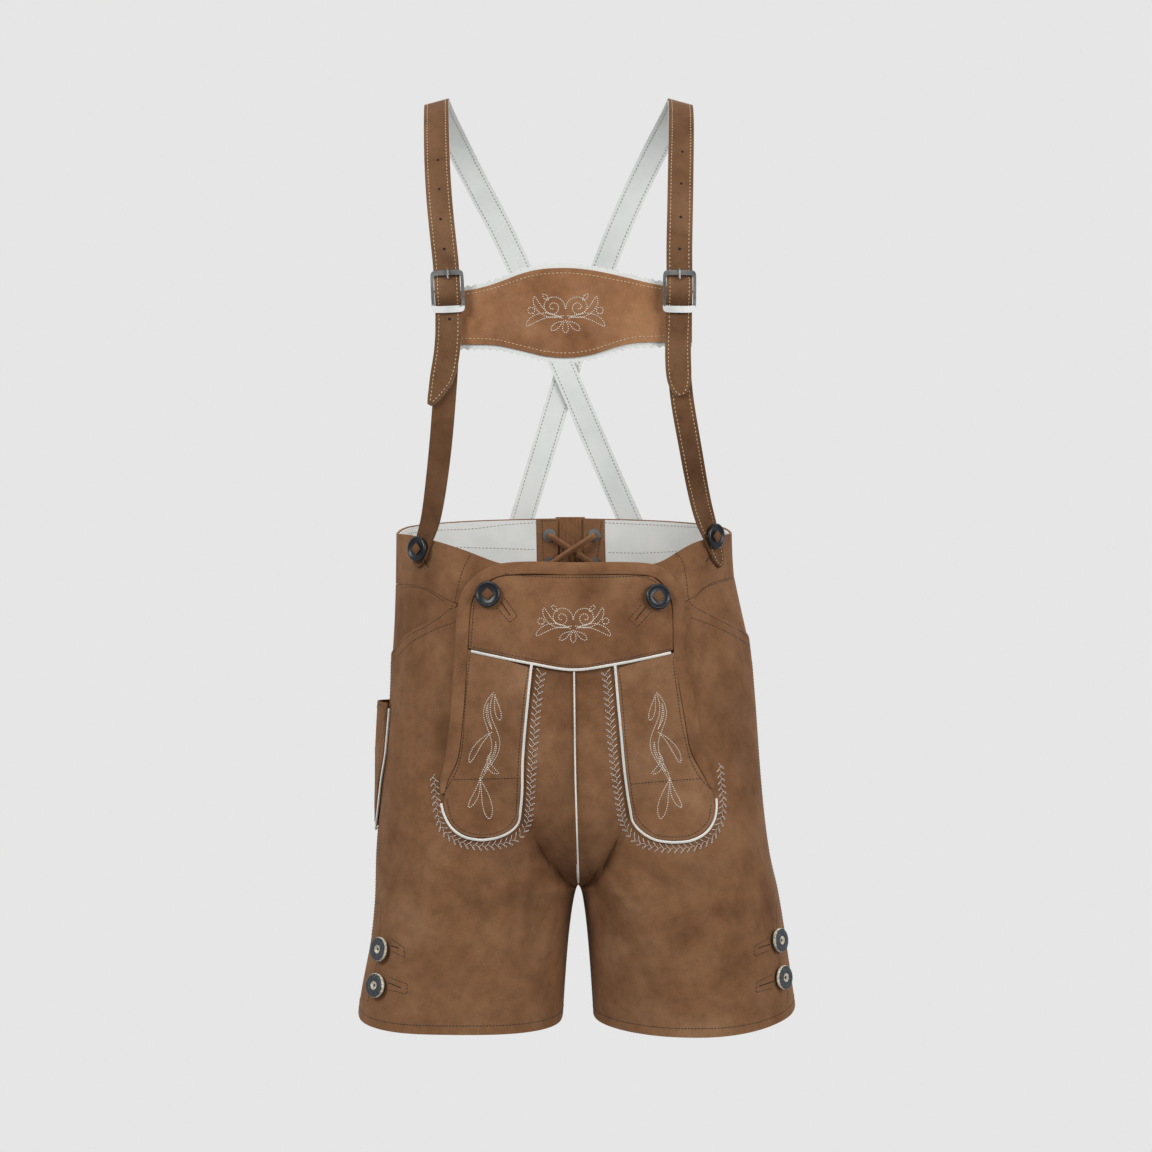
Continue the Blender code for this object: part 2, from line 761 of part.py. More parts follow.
def build_knife_pocket():
    top = KNIFE_POCKET["height"][0]
    bottom = KNIFE_POCKET["height"][-1]
    outer = []
    inner = []
    for z in spread(top, bottom + 2 * KNIFE_PIPING_RADIUS + GAP, 12):
        rim = piping_share(z)
        shares = spread(rim, 1 - rim, 8)
        outer.append([knife_pocket_point(s, z, FLAP_SUEDE) for s in shares])
        inner.append([knife_pocket_point(s, z, 0.0) for s in shares])
    wall("knife_pocket", outer, inner, "suede")
    down = spread(top - 5 * MM, bottom, 14)
    run = [(0.0, z) for z in down] + [(0.5, bottom)] + [(1.0, z) for z in reversed(down)]
    points = [knife_pocket_point(s, z, KNIFE_PIPING_RADIUS - GAP) for s, z in run]
    cord("knife_pocket_piping", points, KNIFE_PIPING_RADIUS, "white_leather")


# Gathered wedge let into the slit at the centre back
GATHERS = 4.5
GATHER_DEPTH = 1.1 * MM


def build_back_gusset():
    outer = []
    inner = []
    for z in spread(BACK_TOP + 0.001, SLIT_BOTTOM + 0.006, 5):
        half = slit_half(z) - GAP
        centre = read(SECTIONS, "centre", z)
        out_row = []
        in_row = []
        for share in spread(-1, 1, 16):
            ripple = GATHER_DEPTH * math.cos(math.pi * GATHERS * share) * (1 - abs(share) ** 3)
            side = LEFT if share < 0 else RIGHT
            u = round_at(side, z, abs(share) * half, True)
            at = skin(side, u, z, ripple)
            at.x = centre + share * half
            out_row.append(at)
            in_row.append(at + Vector((0, -FACING, 0)))
        outer.append(out_row)
        inner.append(in_row)
    wall("back_gusset", outer, inner, "suede")


# Braces: layers either side of the path, measured outwards
STRAP_OUT = 1.45 * MM
STRAP_IN = -1.15 * MM
STRAP_SPLIT = 0.15 * MM
LOWER_HALF = 1.2 * MM
LOWER_SEAT = 2.4 * MM
BACK_SEAT = 2.4 * MM
STRAP_WIDTH = 23.0 * MM
CROSS_HEIGHT = -0.243
CROSS_STEP = 4.4 * MM
BUCKLE_HEIGHT = -0.186
BUCKLE_Y = -0.1135

# Path of a brace from the back waist over the shoulder to the buckle. The left column is the brace of
# the left shoulder, which crosses to the right at the back.
BRACE = table(
    "height depth left right roll",
    [
        (-436.0, 97.0, 79.6, -60.8, 0),
        (-420.0, 97.0, 72.6, -56.0, 0),
        (-402.0, 97.5, 65.0, -50.7, 0),
        (-384.0, 102.0, 57.2, -45.3, 0),
        (-340.0, 107.5, 38.3, -32.2, 0),
        (-290.0, 109.0, 16.9, -17.3, 0),
        (-243.0, 109.5, -3.2, -3.2, 0),
        (-190.0, 109.0, -26.5, 15.0, 0),
        (-141.0, 106.5, -48.6, 32.5, 0),
        (-103.0, 102.0, -66.5, 48.0, 0),
        (-72.0, 95.0, -83.5, 62.0, 4),
        (-45.0, 84.0, -98.0, 75.5, 8),
        (-22.0, 66.0, -110.0, 88.0, 12),
        (-7.0, 41.0, -118.5, 97.5, 14),
        (0.3, 14.0, -122.0, 102.0, 15),
        (0.6, -8.0, -122.6, 102.9, 15),
        (-7.0, -30.0, -121.6, 102.8, 14),
        (-22.0, -49.0, -120.8, 102.5, 10),
        (-45.0, -66.0, -119.8, 101.8, 6),
        (-75.0, -84.0, -118.2, 100.6, 3),
        (-110.0, -100.0, -115.3, 99.6, 0),
        (-147.0, -109.0, -110.9, 98.4, 0),
        (-160.0, -110.5, -109.4, 98.5, 0),
        (-172.6, -109.9, -108.6, 98.6, 0),
        (-176.0, -113.2, -108.2, 98.6, 0),
        (-180.2, -116.6, -107.9, 98.6, 0),
        (-186.0, -117.6, -107.6, 98.5, 0),
        (-190.2, -117.0, -107.4, 98.4, 0),
        (-194.6, -113.4, -107.2, 98.3, 0),
        (-198.6, -109.9, -107.1, 98.2, 0),
        (-212.0, -110.6, -107.0, 98.0, 0),
    ],
)
BRACE_TAIL = {
    "left": table("height depth across width", [
        (-226, -111.6, -107.1, 23.0),
        (-240, -112.6, -108.2, 23.0),
        (-252, -113.2, -110.0, 23.0),
        (-264, -113.6, -113.0, 21.5),
        (-275, -114.0, -117.5, 15.0),
        (-283, -114.4, -121.5, 9.0),
        (-287, -114.6, -123.8, 4.0),
    ]),
    "right": table("height depth across width", [
        (-226, -111.6, 97.4, 23.0),
        (-240, -112.6, 97.1, 23.0),
        (-252, -113.2, 97.4, 23.0),
        (-262, -113.6, 98.0, 22.5),
        (-270, -114.0, 98.9, 19.5),
        (-276, -114.3, 99.8, 13.0),
        (-278, -114.4, 100.4, 8.0),
    ]),
}
LOWER_STRAP = table(
    "height depth left right roll width",
    [
        (-188.6, -114.4, -107.5, 98.5, 0, 20.5),
        (-185.6, -114.4, -107.6, 98.5, 0, 20.5),
        (-182.9, -113.2, -107.6, 98.5, 0, 20.5),
        (-182.9, -110.6, -107.6, 98.5, 0, 20.5),
        (-186.5, -109.1, -107.6, 98.5, 0, 20.5),
        (-194.5, -107.4, -107.3, 98.4, 0, 20.5),
        (-202.5, -107.0, -107.2, 98.3, 0, 20.5),
        (-230.0, -108.4, -107.6, 97.6, 0, 20.5),
        (-256.0, -109.9, -108.8, 98.2, 0, 20.5),
        (-284.0, -110.4, -110.9, 100.8, 0, 20.5),
        (-316.0, -108.0, -113.4, 106.9, 3, 20.2),
        (-350.0, -96.0, -117.7, 113.4, 14, 19.8),
        (-376.0, -84.0, -122.0, 119.4, 26, 19.4),
        (-392.0, -75.0, -125.6, 124.8, 35, 19.2),
        (-403.0, -68.0, -128.4, 127.8, 40, 19.0),
        (-414.8, -68.0, -132.3, 131.4, 40, 18.6),
        (-424.0, -68.0, -134.8, 134.6, 40, 16.0),
        (-430.0, -68.0, -136.4, 136.8, 40, 7.0),
    ],
)


# Heights where the lower straps leave the chest and where they land on the waistband
CHEST_LEAVE = -0.316
LANDING = -0.403


# Directions across a strap and out of its face at one of its places
def strap_frame(places, i):
    before = places[max(0, i - 1)][0]
    after = places[min(len(places) - 1, i + 1)][0]
    run = (after - before).normalized()
    across = places[i][1].cross(run).normalized()
    return across, run.cross(across).normalized()


# Value of a column at one of the heights of a strap's table
def read_at(rows, column, height):
    return rows[column][int(np.argmin(abs(rows["height"] - height)))]


# Flat strap along a path. Each place holds a point, the direction its face looks and a width.
def strap(name, places, low, high, finish):
    outer = []
    inner = []
    for i, (point, _, width) in enumerate(places):
        across, looks = strap_frame(places, i)
        edges = [point - across * width / 2, point + across * width / 2]
        outer.append([p + looks * high for p in edges])
        inner.append([p + looks * low for p in edges])
    return wall(name, outer, inner, finish)


# Directions in which the points of a path look: those of the body under it, or turned by their roll
def facings_of(points, rolls, bodies):
    facings = []
    for i, point in enumerate(points):
        run = (points[min(len(points) - 1, i + 1)] - points[max(0, i - 1)]).normalized()
        facing = run.cross(Vector((1, 0, 0))).normalized()
        facing.rotate(Matrix.Rotation(math.radians(rolls[i]), 3, run))
        facings.append(bodies[i] or facing)
    return facings


# Point outside the body at a place across and up, and the way the body looks there
def seat_on(x, z, out, back):
    side = LEFT if x < read(SECTIONS, "centre", z) else RIGHT
    u = round_at(side, z, abs(x - read(SECTIONS, "centre", z)), back)
    return skin(side, u, z, out), body_normal(side, u, z)


def path_places(points, rolls, bodies, widths):
    return list(zip(points, facings_of(points, rolls, bodies), widths))


def brace_places(name):
    side = SIDES[name]
    points = []
    bodies = []
    rolls = []
    widths = []
    for z, y, x, roll in zip(BRACE["height"], BRACE["depth"], BRACE[name], BRACE["roll"]):
        point = Vector((x, y, z))
        body = None
        if z < -0.380:
            point, body = seat_on(x, min(z, -0.386), BACK_SEAT, True)
            point.z = z
        elif side == RIGHT and y > 0:
            point.y += CROSS_STEP * math.exp(-(((z - CROSS_HEIGHT) / 0.06) ** 2))
        points.append(point)
        bodies.append(body)
        rolls.append(-side * roll / MM)
        widths.append(STRAP_WIDTH)
    tail = BRACE_TAIL[name]
    for z, y, x, width in zip(*tail.values()):
        points.append(Vector((x, y, z)))
        bodies.append(None)
        rolls.append(0)
        widths.append(width)
    return path_places(points, rolls, bodies, widths)


# The lower strap hangs free from the chest and runs in to the waist, where it lies on the body
def lower_strap_places(name):
    side = SIDES[name]
    points = []
    bodies = []
    landing = seat_on(read_at(LOWER_STRAP, name, LANDING), LANDING, LOWER_SEAT, False)[0]
    chest = read_at(LOWER_STRAP, "depth", CHEST_LEAVE)
    for z, y, x in zip(LOWER_STRAP["height"], LOWER_STRAP["depth"], LOWER_STRAP[name]):
        point, body = Vector((x, y, z)), None
        if z < LANDING + MM:
            point, body = seat_on(x, z, LOWER_SEAT, False)
        elif z < CHEST_LEAVE:
            share = ((CHEST_LEAVE - z) / (CHEST_LEAVE - LANDING)) ** 1.3
            point.y = chest + (landing.y - chest) * share
        points.append(point)
        bodies.append(body)
    rolls = [-side * roll / MM for roll in LOWER_STRAP["roll"]]
    return path_places(points, rolls, bodies, list(LOWER_STRAP["width"]))


def build_straps():
    for name in SIDES:
        places = brace_places(name)
        strap(f"strap_upper_{name}", places, STRAP_SPLIT, STRAP_OUT, "suede")
        strap(f"strap_lining_{name}", places, STRAP_IN, -STRAP_SPLIT, "white_leather")
        strap(f"strap_lower_{name}", lower_strap_places(name), -LOWER_HALF, LOWER_HALF, "suede")


# Turned pieces: radius and height of a closed outline, in millimetres, down the outer side first
RING_BUTTON = [(10.6, 4.2), (12.3, 3.4), (12.4, 1.6), (10.0, 0.0), (5.6, 0.0), (5.6, -1.1), (3.6, -1.1),
               (3.6, 2.0), (8.8, 2.5)]
HEM_BUTTON = [(0, 3.0), (1.8, 3.2), (3.4, 4.3), (10.4, 4.5), (11.6, 3.3), (11.6, 1.2), (10.4, 0.0), (2.6, 0.0),
              (2.6, -2.4), (0, -2.4)]
EYELET = [(2.6, 1.2), (6.0, 1.0), (6.0, 0.35), (3.2, 0.35), (3.2, -3.65), (7.0, -3.65), (7.0, -4.4),
          (2.6, -4.6)]
THONG = [(0, 5.0), (3.4, 4.9), (4.8, 3.7), (4.6, 2.9), (3.0, 2.7), (3.0, 0.3), (0, 0.3)]
EYELET_HOLE = 3.6 * MM

# Where the buttons sit: across and height
FLAP_BUTTONS = {"left": (-0.0699, -0.4561), "right": (0.0771, -0.4585)}
BRACE_BUTTON_HEIGHTS = {"left": -0.4148, "right": -0.4040}
BACK_BUTTON_HEIGHT = -0.4200
BUTTON_CLEAR = 1.7 * MM
HEM_BUTTONS = {
    "left_upper": (-0.1684, -0.7774), "left_lower": (-0.1722, -0.8094),
    "right_upper": (0.1888, -0.7710), "right_lower": (0.1922, -0.8048),
}
HEM_BUTTON_TILT = 0.22
HEM_BUTTON_SEAT = 2.8 * MM
EYELETS = {
    "left_upper": (-0.0193, -0.3995), "left_lower": (-0.0193, -0.4270),
    "right_upper": (0.0245, -0.3995), "right_lower": (0.0245, -0.4270),
}


# Turned piece standing on a point and looking along a direction
def turned(name, outline, at, facing, finish, steps=12):
    mesh = bpy.data.meshes.new(name)
    count = len(outline)
    open_ends = outline[0][0] == 0
    links = [(i, i + 1) for i in range(count - 1)] + ([] if open_ends else [(count - 1, 0)])
    mesh.from_pydata([(r * MM, 0, h * MM) for r, h in outline], links, [])
    made = add_object(name, mesh, finish)
    made.location = at
    made.rotation_euler = facing.to_track_quat("Z", "Y").to_euler()
    screw = made.modifiers.new("Turn", "SCREW")
    screw.steps = steps
    screw.render_steps = steps
    screw.use_merge_vertices = True
    screw.merge_threshold = 0.00001
    screw.use_smooth_shade = True
    return made


# Point on a strap's face at the place nearest a height, and the way the strap looks there
def on_strap(places, height, out):
    i = min(range(len(places)), key=lambda k: abs(places[k][0].z - height))
    looks = strap_frame(places, i)[1]
    return places[i][0] + looks * out, looks


def build_buttons():
    for name in SIDES:
        x, z = FLAP_BUTTONS[name]
        at, facing = seat_on(x, z, flap_lift(z) + BINDING_THICK + GAP, False)
        turned(f"flap_button_{name}", RING_BUTTON, at, facing, "dark_horn")
        turned(f"flap_thong_{name}", THONG, at, facing, "suede", 4)
        at, facing = on_strap(lower_strap_places(name), BRACE_BUTTON_HEIGHTS[name], LOWER_HALF + BUTTON_CLEAR)
        turned(f"brace_button_{name}", RING_BUTTON, at, facing, "dark_horn")
        turned(f"brace_thong_{name}", THONG, at, facing, "suede", 4)
        at, facing = on_strap(brace_places(name)[:4], BACK_BUTTON_HEIGHT, STRAP_OUT + BUTTON_CLEAR)
        turned(f"back_button_{name}", RING_BUTTON, at, facing, "dark_horn")
    for name, spot in HEM_BUTTONS.items():
        at, facing = seat_on(spot[0], spot[1], HEM_BUTTON_SEAT, False)
        facing = (facing + Vector((0, -HEM_BUTTON_TILT, 0))).normalized()
        turned(f"hem_button_{name}", HEM_BUTTON, at, facing, "antler")


def add_cutter(name, at, facing, radius, length):
    bpy.ops.mesh.primitive_cylinder_add(vertices=12, radius=radius, depth=length, location=at)
    cutter = bpy.context.object
    cutter.name = name
    cutter.rotation_euler = facing.to_track_quat("Z", "Y").to_euler()
    cutter.hide_render = True
    cutter.display_type = "WIRE"
    for owner in list(cutter.users_collection):
        owner.objects.unlink(cutter)
    bpy.data.collections["cutters"].objects.link(cutter)
    return cutter


def cut_with(name, cutter):
    cut = bpy.data.objects[name].modifiers.new("Hole", "BOOLEAN")
    cut.operation = "DIFFERENCE"
    cut.object = cutter


def build_eyelets():
    for name, spot in EYELETS.items():
        at, facing = seat_on(spot[0], spot[1], 0.0, True)
        turned(f"eyelet_{name}", EYELET, at, facing, "nickel", 8)
        cutter = add_cutter(f"eyelet_hole_{name}", at, facing, EYELET_HOLE, 14 * MM)
        side = name.split("_")[0]
        cut_with(f"eyelet_facing_{side}", cutter)
        cut_with(f"back_waistband_{side}", cutter)


# Suede lace: a bar outside the upper eyelets, a cross inside, and its two ends meeting outside below
LACE_RADIUS = 2.1 * MM
LACE_OUT = 4.0 * MM
LACE_IN = -9.5 * MM
LACE_CROSS = 2.6 * MM


def build_lace():
    places = {name: seat_on(spot[0], spot[1], 0.0, True) for name, spot in EYELETS.items()}

    def through(name, out):
        at, facing = places[name]
        return at + facing * out

    middle = (through("left_upper", LACE_IN) + through("right_lower", LACE_IN)) / 2
    low = (through("left_lower", LACE_OUT) + through("right_lower", LACE_OUT)) / 2
    route = [
        low + Vector((-2.2 * MM, 0, 0)),
        through("left_lower", LACE_OUT), through("left_lower", LACE_IN),
        middle + Vector((0, -LACE_CROSS, 0)),
        through("right_upper", LACE_IN), through("right_upper", LACE_OUT),
        through("left_upper", LACE_OUT), through("left_upper", LACE_IN),
        middle + Vector((0, LACE_CROSS, 0)),
        through("right_lower", LACE_IN), through("right_lower", LACE_OUT),
        low + Vector((2.2 * MM, 0, 0)),
    ]
    points = []
    for a, b in zip(route[:-1], route[1:]):
        points += [a.lerp(b, 0.12), a.lerp(b, 0.88)]
    cord("lace", points, LACE_RADIUS, "suede")


# Rectangular buckle with a middle bar, and its prong
BUCKLE_HALF = (14.9 * MM, 19.0 * MM)
WINDOW_HALF = 12.1 * MM
WINDOW_TOP = 14.5 * MM
WINDOW_BOTTOM = -13.0 * MM
BUCKLE_THICK = 2.4 * MM
BAR_RADIUS = 1.0 * MM
BAR_BACK = 1.6 * MM
PRONG_RADIUS = 1.2 * MM


def rounded_rectangle(left, right, bottom, top, radius):
    points = []
    centres = [(right - radius, top - radius, 0), (left + radius, top - radius, 90),
               (left + radius, bottom + radius, 180), (right - radius, bottom + radius, 270)]
    for x, y, start in centres:
        for turn in (0, 30, 60, 90):
            angle = math.radians(start + turn)
            points.append((x + radius * math.cos(angle), y + radius * math.sin(angle)))
    return points


# Flat ring between two outlines of equal length, of a thickness along Z
def flat_ring(outer, inner, thick):
    count = len(outer)
    points = [(x, y, z) for z in (-thick / 2, thick / 2) for line in (outer, inner) for x, y in line]
    faces = []
    for i in range(count):
        j = (i + 1) % count
        corners = [(0, count), (count, 3 * count), (3 * count, 2 * count), (2 * count, 0)]
        faces += [(a + i, a + j, b + j, b + i) for a, b in corners]
    mesh = bpy.data.meshes.new("ring")
    mesh.from_pydata(points, [], faces)
    return mesh


def build_buckles():
    wide, high = BUCKLE_HALF
    for name in SIDES:
        middle = Vector((BRACE[name][26], BUCKLE_Y, BUCKLE_HEIGHT))
        lean = (BRACE[name][22] - BRACE[name][30]) / (BRACE["height"][22] - BRACE["height"][30])
        turn = Matrix.Rotation(math.atan(lean), 4, "Y") @ Matrix.Rotation(math.radians(90), 4, "X")
        ring = flat_ring(
            rounded_rectangle(-wide, wide, -high, high, 4.5 * MM),
            rounded_rectangle(-WINDOW_HALF, WINDOW_HALF, WINDOW_BOTTOM, WINDOW_TOP, 2.5 * MM),
            BUCKLE_THICK,
        )
        buckle = add_object(f"buckle_{name}", ring, "nickel")
        face_outwards(buckle)
        buckle.matrix_world = Matrix.Translation(middle) @ turn
        bar = add_cutter(f"middle_bar_{name}", middle + Vector((0, BAR_BACK, 0)), Vector((1, 0, 0)),
                         BAR_RADIUS, 2 * WINDOW_HALF + 2 * MM)
        join = buckle.modifiers.new("Middle bar", "BOOLEAN")
        join.operation = "UNION"
        join.object = bar
        front = middle + Vector((0, -BUCKLE_THICK / 2 - GAP - PRONG_RADIUS, 0))
        cord(f"prong_{name}", [front + Vector((0, 0, h * MM)) for h in (11.0, 14.0, 17.0, 20.0)],
             PRONG_RADIUS, "nickel", 6)


# Chest piece between the braces, and its white pinked backing
CHEST_OUTLINE = table(
    "across top bottom",
    [
        (-119.0, -187.5, -232.5),
        (-94.0, -184.8, -232.5),
        (-77.4, -182.0, -232.6),
        (-62.7, -178.0, -234.0),
        (-48.0, -172.7, -237.5),
        (-33.5, -168.2, -241.0),
        (-18.4, -166.1, -244.4),
        (-2.4, -165.6, -245.5),
        (18.0, -167.3, -243.2),
        (33.1, -170.0, -238.8),
        (55.3, -174.4, -232.2),
        (69.5, -177.5, -230.6),
        (83.0, -179.8, -230.4),
        (110.0, -183.5, -230.6),
    ],
)
CHEST_THICK = 1.3 * MM
CHEST_BULGE = 13.5 * MM
CHEST_END_Y = -0.1052
CHEST_MIDDLE = -0.0040
BACKING_BEYOND = 3.0 * MM
TOOTH_PITCH = 6.4 * MM
TOOTH_HEIGHT = 2.0 * MM


def chest_depth(x):
    t = min(1.0, max(0.0, (0.090 - abs(x - CHEST_MIDDLE)) / 0.06))
    return CHEST_END_Y - CHEST_BULGE * t * t * (3 - 2 * t)


def chest_wall(name, places, front, thick, finish):
    outer = []
    inner = []
    for x, heights in places:
        slope = (chest_depth(x + MM) - chest_depth(x - MM)) / (2 * MM)
        looks = Vector((slope, -1, 0)).normalized()
        face = [Vector((x, chest_depth(x), z)) - looks * front for z in heights]
        outer.append(face)
        inner.append([p - looks * thick for p in face])
    return wall(name, outer, inner, finish)


def build_chest_piece():
    first = CHEST_OUTLINE["across"][0]
    last = CHEST_OUTLINE["across"][-1]
    places = []
    for x in spread(first, last, 26):
        places.append((x, spread(read(CHEST_OUTLINE, "top", x), read(CHEST_OUTLINE, "bottom", x), 3)))
    chest_wall("chest_piece", places, 0.0, CHEST_THICK, "suede")
    places = []
    teeth = round((last - first) / TOOTH_PITCH)
    for i, x in enumerate(spread(first, last, 2 * teeth)):
        reach = BACKING_BEYOND + (TOOTH_HEIGHT if i % 2 else 0.0)
        top = read(CHEST_OUTLINE, "top", x) + reach
        places.append((x, [top, read(CHEST_OUTLINE, "bottom", x) - reach]))
    chest_wall("chest_backing", places, CHEST_THICK + GAP, LINING, "white_leather")


# Diamond patch that joins the crossed braces at the back
PATCH_AT = (-0.0032, 0.1168, -0.2430)
PATCH_RADIUS = 0.028
PATCH_NARROW = 0.41


def build_back_patch():
    bpy.ops.mesh.primitive_cylinder_add(vertices=4, radius=PATCH_RADIUS, depth=FLAP_SUEDE)
    patch = bpy.context.object
    patch.name = "back_cross_patch"
    place = Matrix.Translation(PATCH_AT) @ Matrix.Diagonal((PATCH_NARROW, 1, 1, 1))
    patch.data.transform(place @ Matrix.Rotation(math.radians(90), 4, "X"))
    patch.data.materials.append(material("suede"))
    for owner in list(patch.users_collection):
        owner.objects.unlink(patch)
    bpy.data.collections["lederhosen"].objects.link(patch)


# Layers inside the buttoned hem vents
def build_vent_underlaps():
    for name, side in SIDES.items():
        rounds = [u for u in FRONT_ROUNDS if u > 0.78]
        wanted = len([row for row in PANEL_ROWS if row < -0.74])

        def heights(u, side=side):
            rows = panel_heights(side, u, lambda v: edge(POCKET_MOUTH, side, v))[-wanted:]
            return rows[:-1] + [rows[-1] + 2 * MM]

        body_wall(
            f"vent_underlap_{name}", side, rounds, heights, lambda u, z: -SUEDE - GAP,
            FLAP_SUEDE, "suede",
        )


def main():
    for old in list(bpy.data.objects):
        bpy.data.objects.remove(old)
    collection_named("lederhosen")
    collection_named("cutters")
    build_front_panels()
    build_hip_yokes()
    build_front_waistbands()
    build_back_panels()
    build_back_waistbands()
    build_back_inside()
    build_flap_binding()
    build_flap_yoke()
    build_flap_pockets()
    build_pipings()
    build_knife_pocket()
    build_back_gusset()
    build_straps()
    build_buttons()
    build_eyelets()
    build_lace()
    build_buckles()
    build_chest_piece()
    build_back_patch()
    build_vent_underlaps()


main()
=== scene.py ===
import math

import bmesh
import bpy
import numpy as np
from mathutils import Matrix, Vector
from mathutils.bvhtree import BVHTree


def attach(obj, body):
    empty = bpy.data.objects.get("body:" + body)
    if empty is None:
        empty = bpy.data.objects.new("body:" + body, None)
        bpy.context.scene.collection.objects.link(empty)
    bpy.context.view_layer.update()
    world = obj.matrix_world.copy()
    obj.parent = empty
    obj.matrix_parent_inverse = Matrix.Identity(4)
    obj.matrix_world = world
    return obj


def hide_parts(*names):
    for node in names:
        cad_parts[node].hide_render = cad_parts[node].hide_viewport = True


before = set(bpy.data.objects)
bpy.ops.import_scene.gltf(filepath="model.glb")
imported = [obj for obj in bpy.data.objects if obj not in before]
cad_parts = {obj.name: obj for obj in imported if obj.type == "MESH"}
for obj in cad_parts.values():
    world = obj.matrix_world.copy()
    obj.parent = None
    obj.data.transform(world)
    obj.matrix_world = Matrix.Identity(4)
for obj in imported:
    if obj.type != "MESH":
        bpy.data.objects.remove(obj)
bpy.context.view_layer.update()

# The camera stands level in front of the garment; places on it are read in the photograph's own frame
view = {"side": 1152, "eye": Vector((0.0065, -2.6, -0.439)), "lens": 87.4, "sensor": 36.0}

# Colours are sRGB values from 0 to 255
colours = {
    "suedeDark": (91, 58, 37), "suede": (127, 90, 62), "suedeLight": (157, 121, 91),
    # The lining's white on the next line is painted lighter than the white leather, as painted light inside
    # the waist
    "liningLitWhite": (228, 229, 225),
    "whiteLeather": (216, 218, 215), "whiteShade": (206, 210, 208), "piping": (238, 235, 227),
    "darkThread": (40, 27, 20), "creamThread": (214, 188, 150), "whiteThread": (228, 216, 200),
    # The near-white at the end of the next line is a painted highlight for the buckle's bottom bar
    "greyThread": (158, 150, 138), "vineThread": (220, 208, 198), "barGlint": (244, 246, 246),
    "horn": (15, 20, 28), "antlerFace": (62, 66, 72), "antlerRim": (214, 204, 184),
    # The dark colour on the next line is painted shade for holes, slits and eyelet bores
    "nickel": (146, 146, 144), "holeShade": (24, 16, 12), "backdrop": (230, 230, 230),
}


def linear(name, alpha=1.0):
    channels = []
    for value in colours[name]:
        share = value / 255
        channels.append(share / 12.92 if share <= 0.04045 else ((share + 0.055) / 1.055) ** 2.4)
    return (*channels, alpha)


def newMaterial(name):
    made = bpy.data.materials.new(name)
    made.use_nodes = True
    return made, made.node_tree.nodes, made.node_tree.links


def addNoise(nodes, links, coords, scale, detail, rough=0.55):
    noise = nodes.new("ShaderNodeTexNoise")
    noise.inputs["Scale"].default_value = scale
    noise.inputs["Detail"].default_value = detail
    noise.inputs["Roughness"].default_value = rough
    links.new(coords, noise.inputs["Vector"])
    return noise.outputs["Fac"]


def addRamp(nodes, links, source, stops):
    ramp = nodes.new("ShaderNodeValToRGB")
    while len(ramp.color_ramp.elements) < len(stops):
        ramp.color_ramp.elements.new(0.5)
    for element, (place, colour) in zip(ramp.color_ramp.elements, stops):
        element.position = place
        element.color = colour
    links.new(source, ramp.inputs["Fac"])
    return ramp.outputs["Color"]


def addMix(nodes, links, kind, share, first, second):
    mix = nodes.new("ShaderNodeMix")
    mix.data_type = "RGBA"
    mix.blend_type = kind
    if isinstance(share, float):
        mix.inputs["Factor"].default_value = share
    else:
        links.new(share, mix.inputs["Factor"])
    links.new(first, mix.inputs["A"])
    links.new(second, mix.inputs["B"])
    return mix.outputs["Result"]


def addBump(nodes, links, height, strength, distance, under=None):
    bump = nodes.new("ShaderNodeBump")
    bump.inputs["Strength"].default_value = strength
    bump.inputs["Distance"].default_value = distance
    links.new(height, bump.inputs["Height"])
    if under:
        links.new(under, bump.inputs["Normal"])
    return bump.outputs["Normal"]


def placedCoords(nodes, links, shift):
    coords = nodes.new("ShaderNodeTexCoord")
    mapping = nodes.new("ShaderNodeMapping")
    mapping.inputs["Location"].default_value = (shift, shift * 0.7, shift * 0.4)
    links.new(coords.outputs["Object"], mapping.inputs["Vector"])
    return mapping.outputs["Vector"]


# Suede: broad handling marks, mottles, a short nap that catches light, and a fine tooth
suedeLook = {"broad": 7.0, "mottle": 26.0, "patch": 90.0, "nap": 900.0, "tooth": 2600.0, "rough": 0.93,
             "specular": 0.18, "sheen": 0.22, "sheenRough": 0.55, "bump": 0.35,
             "wornShare": 0.38, "fleckShare": 0.55, "napShare": 0.8}
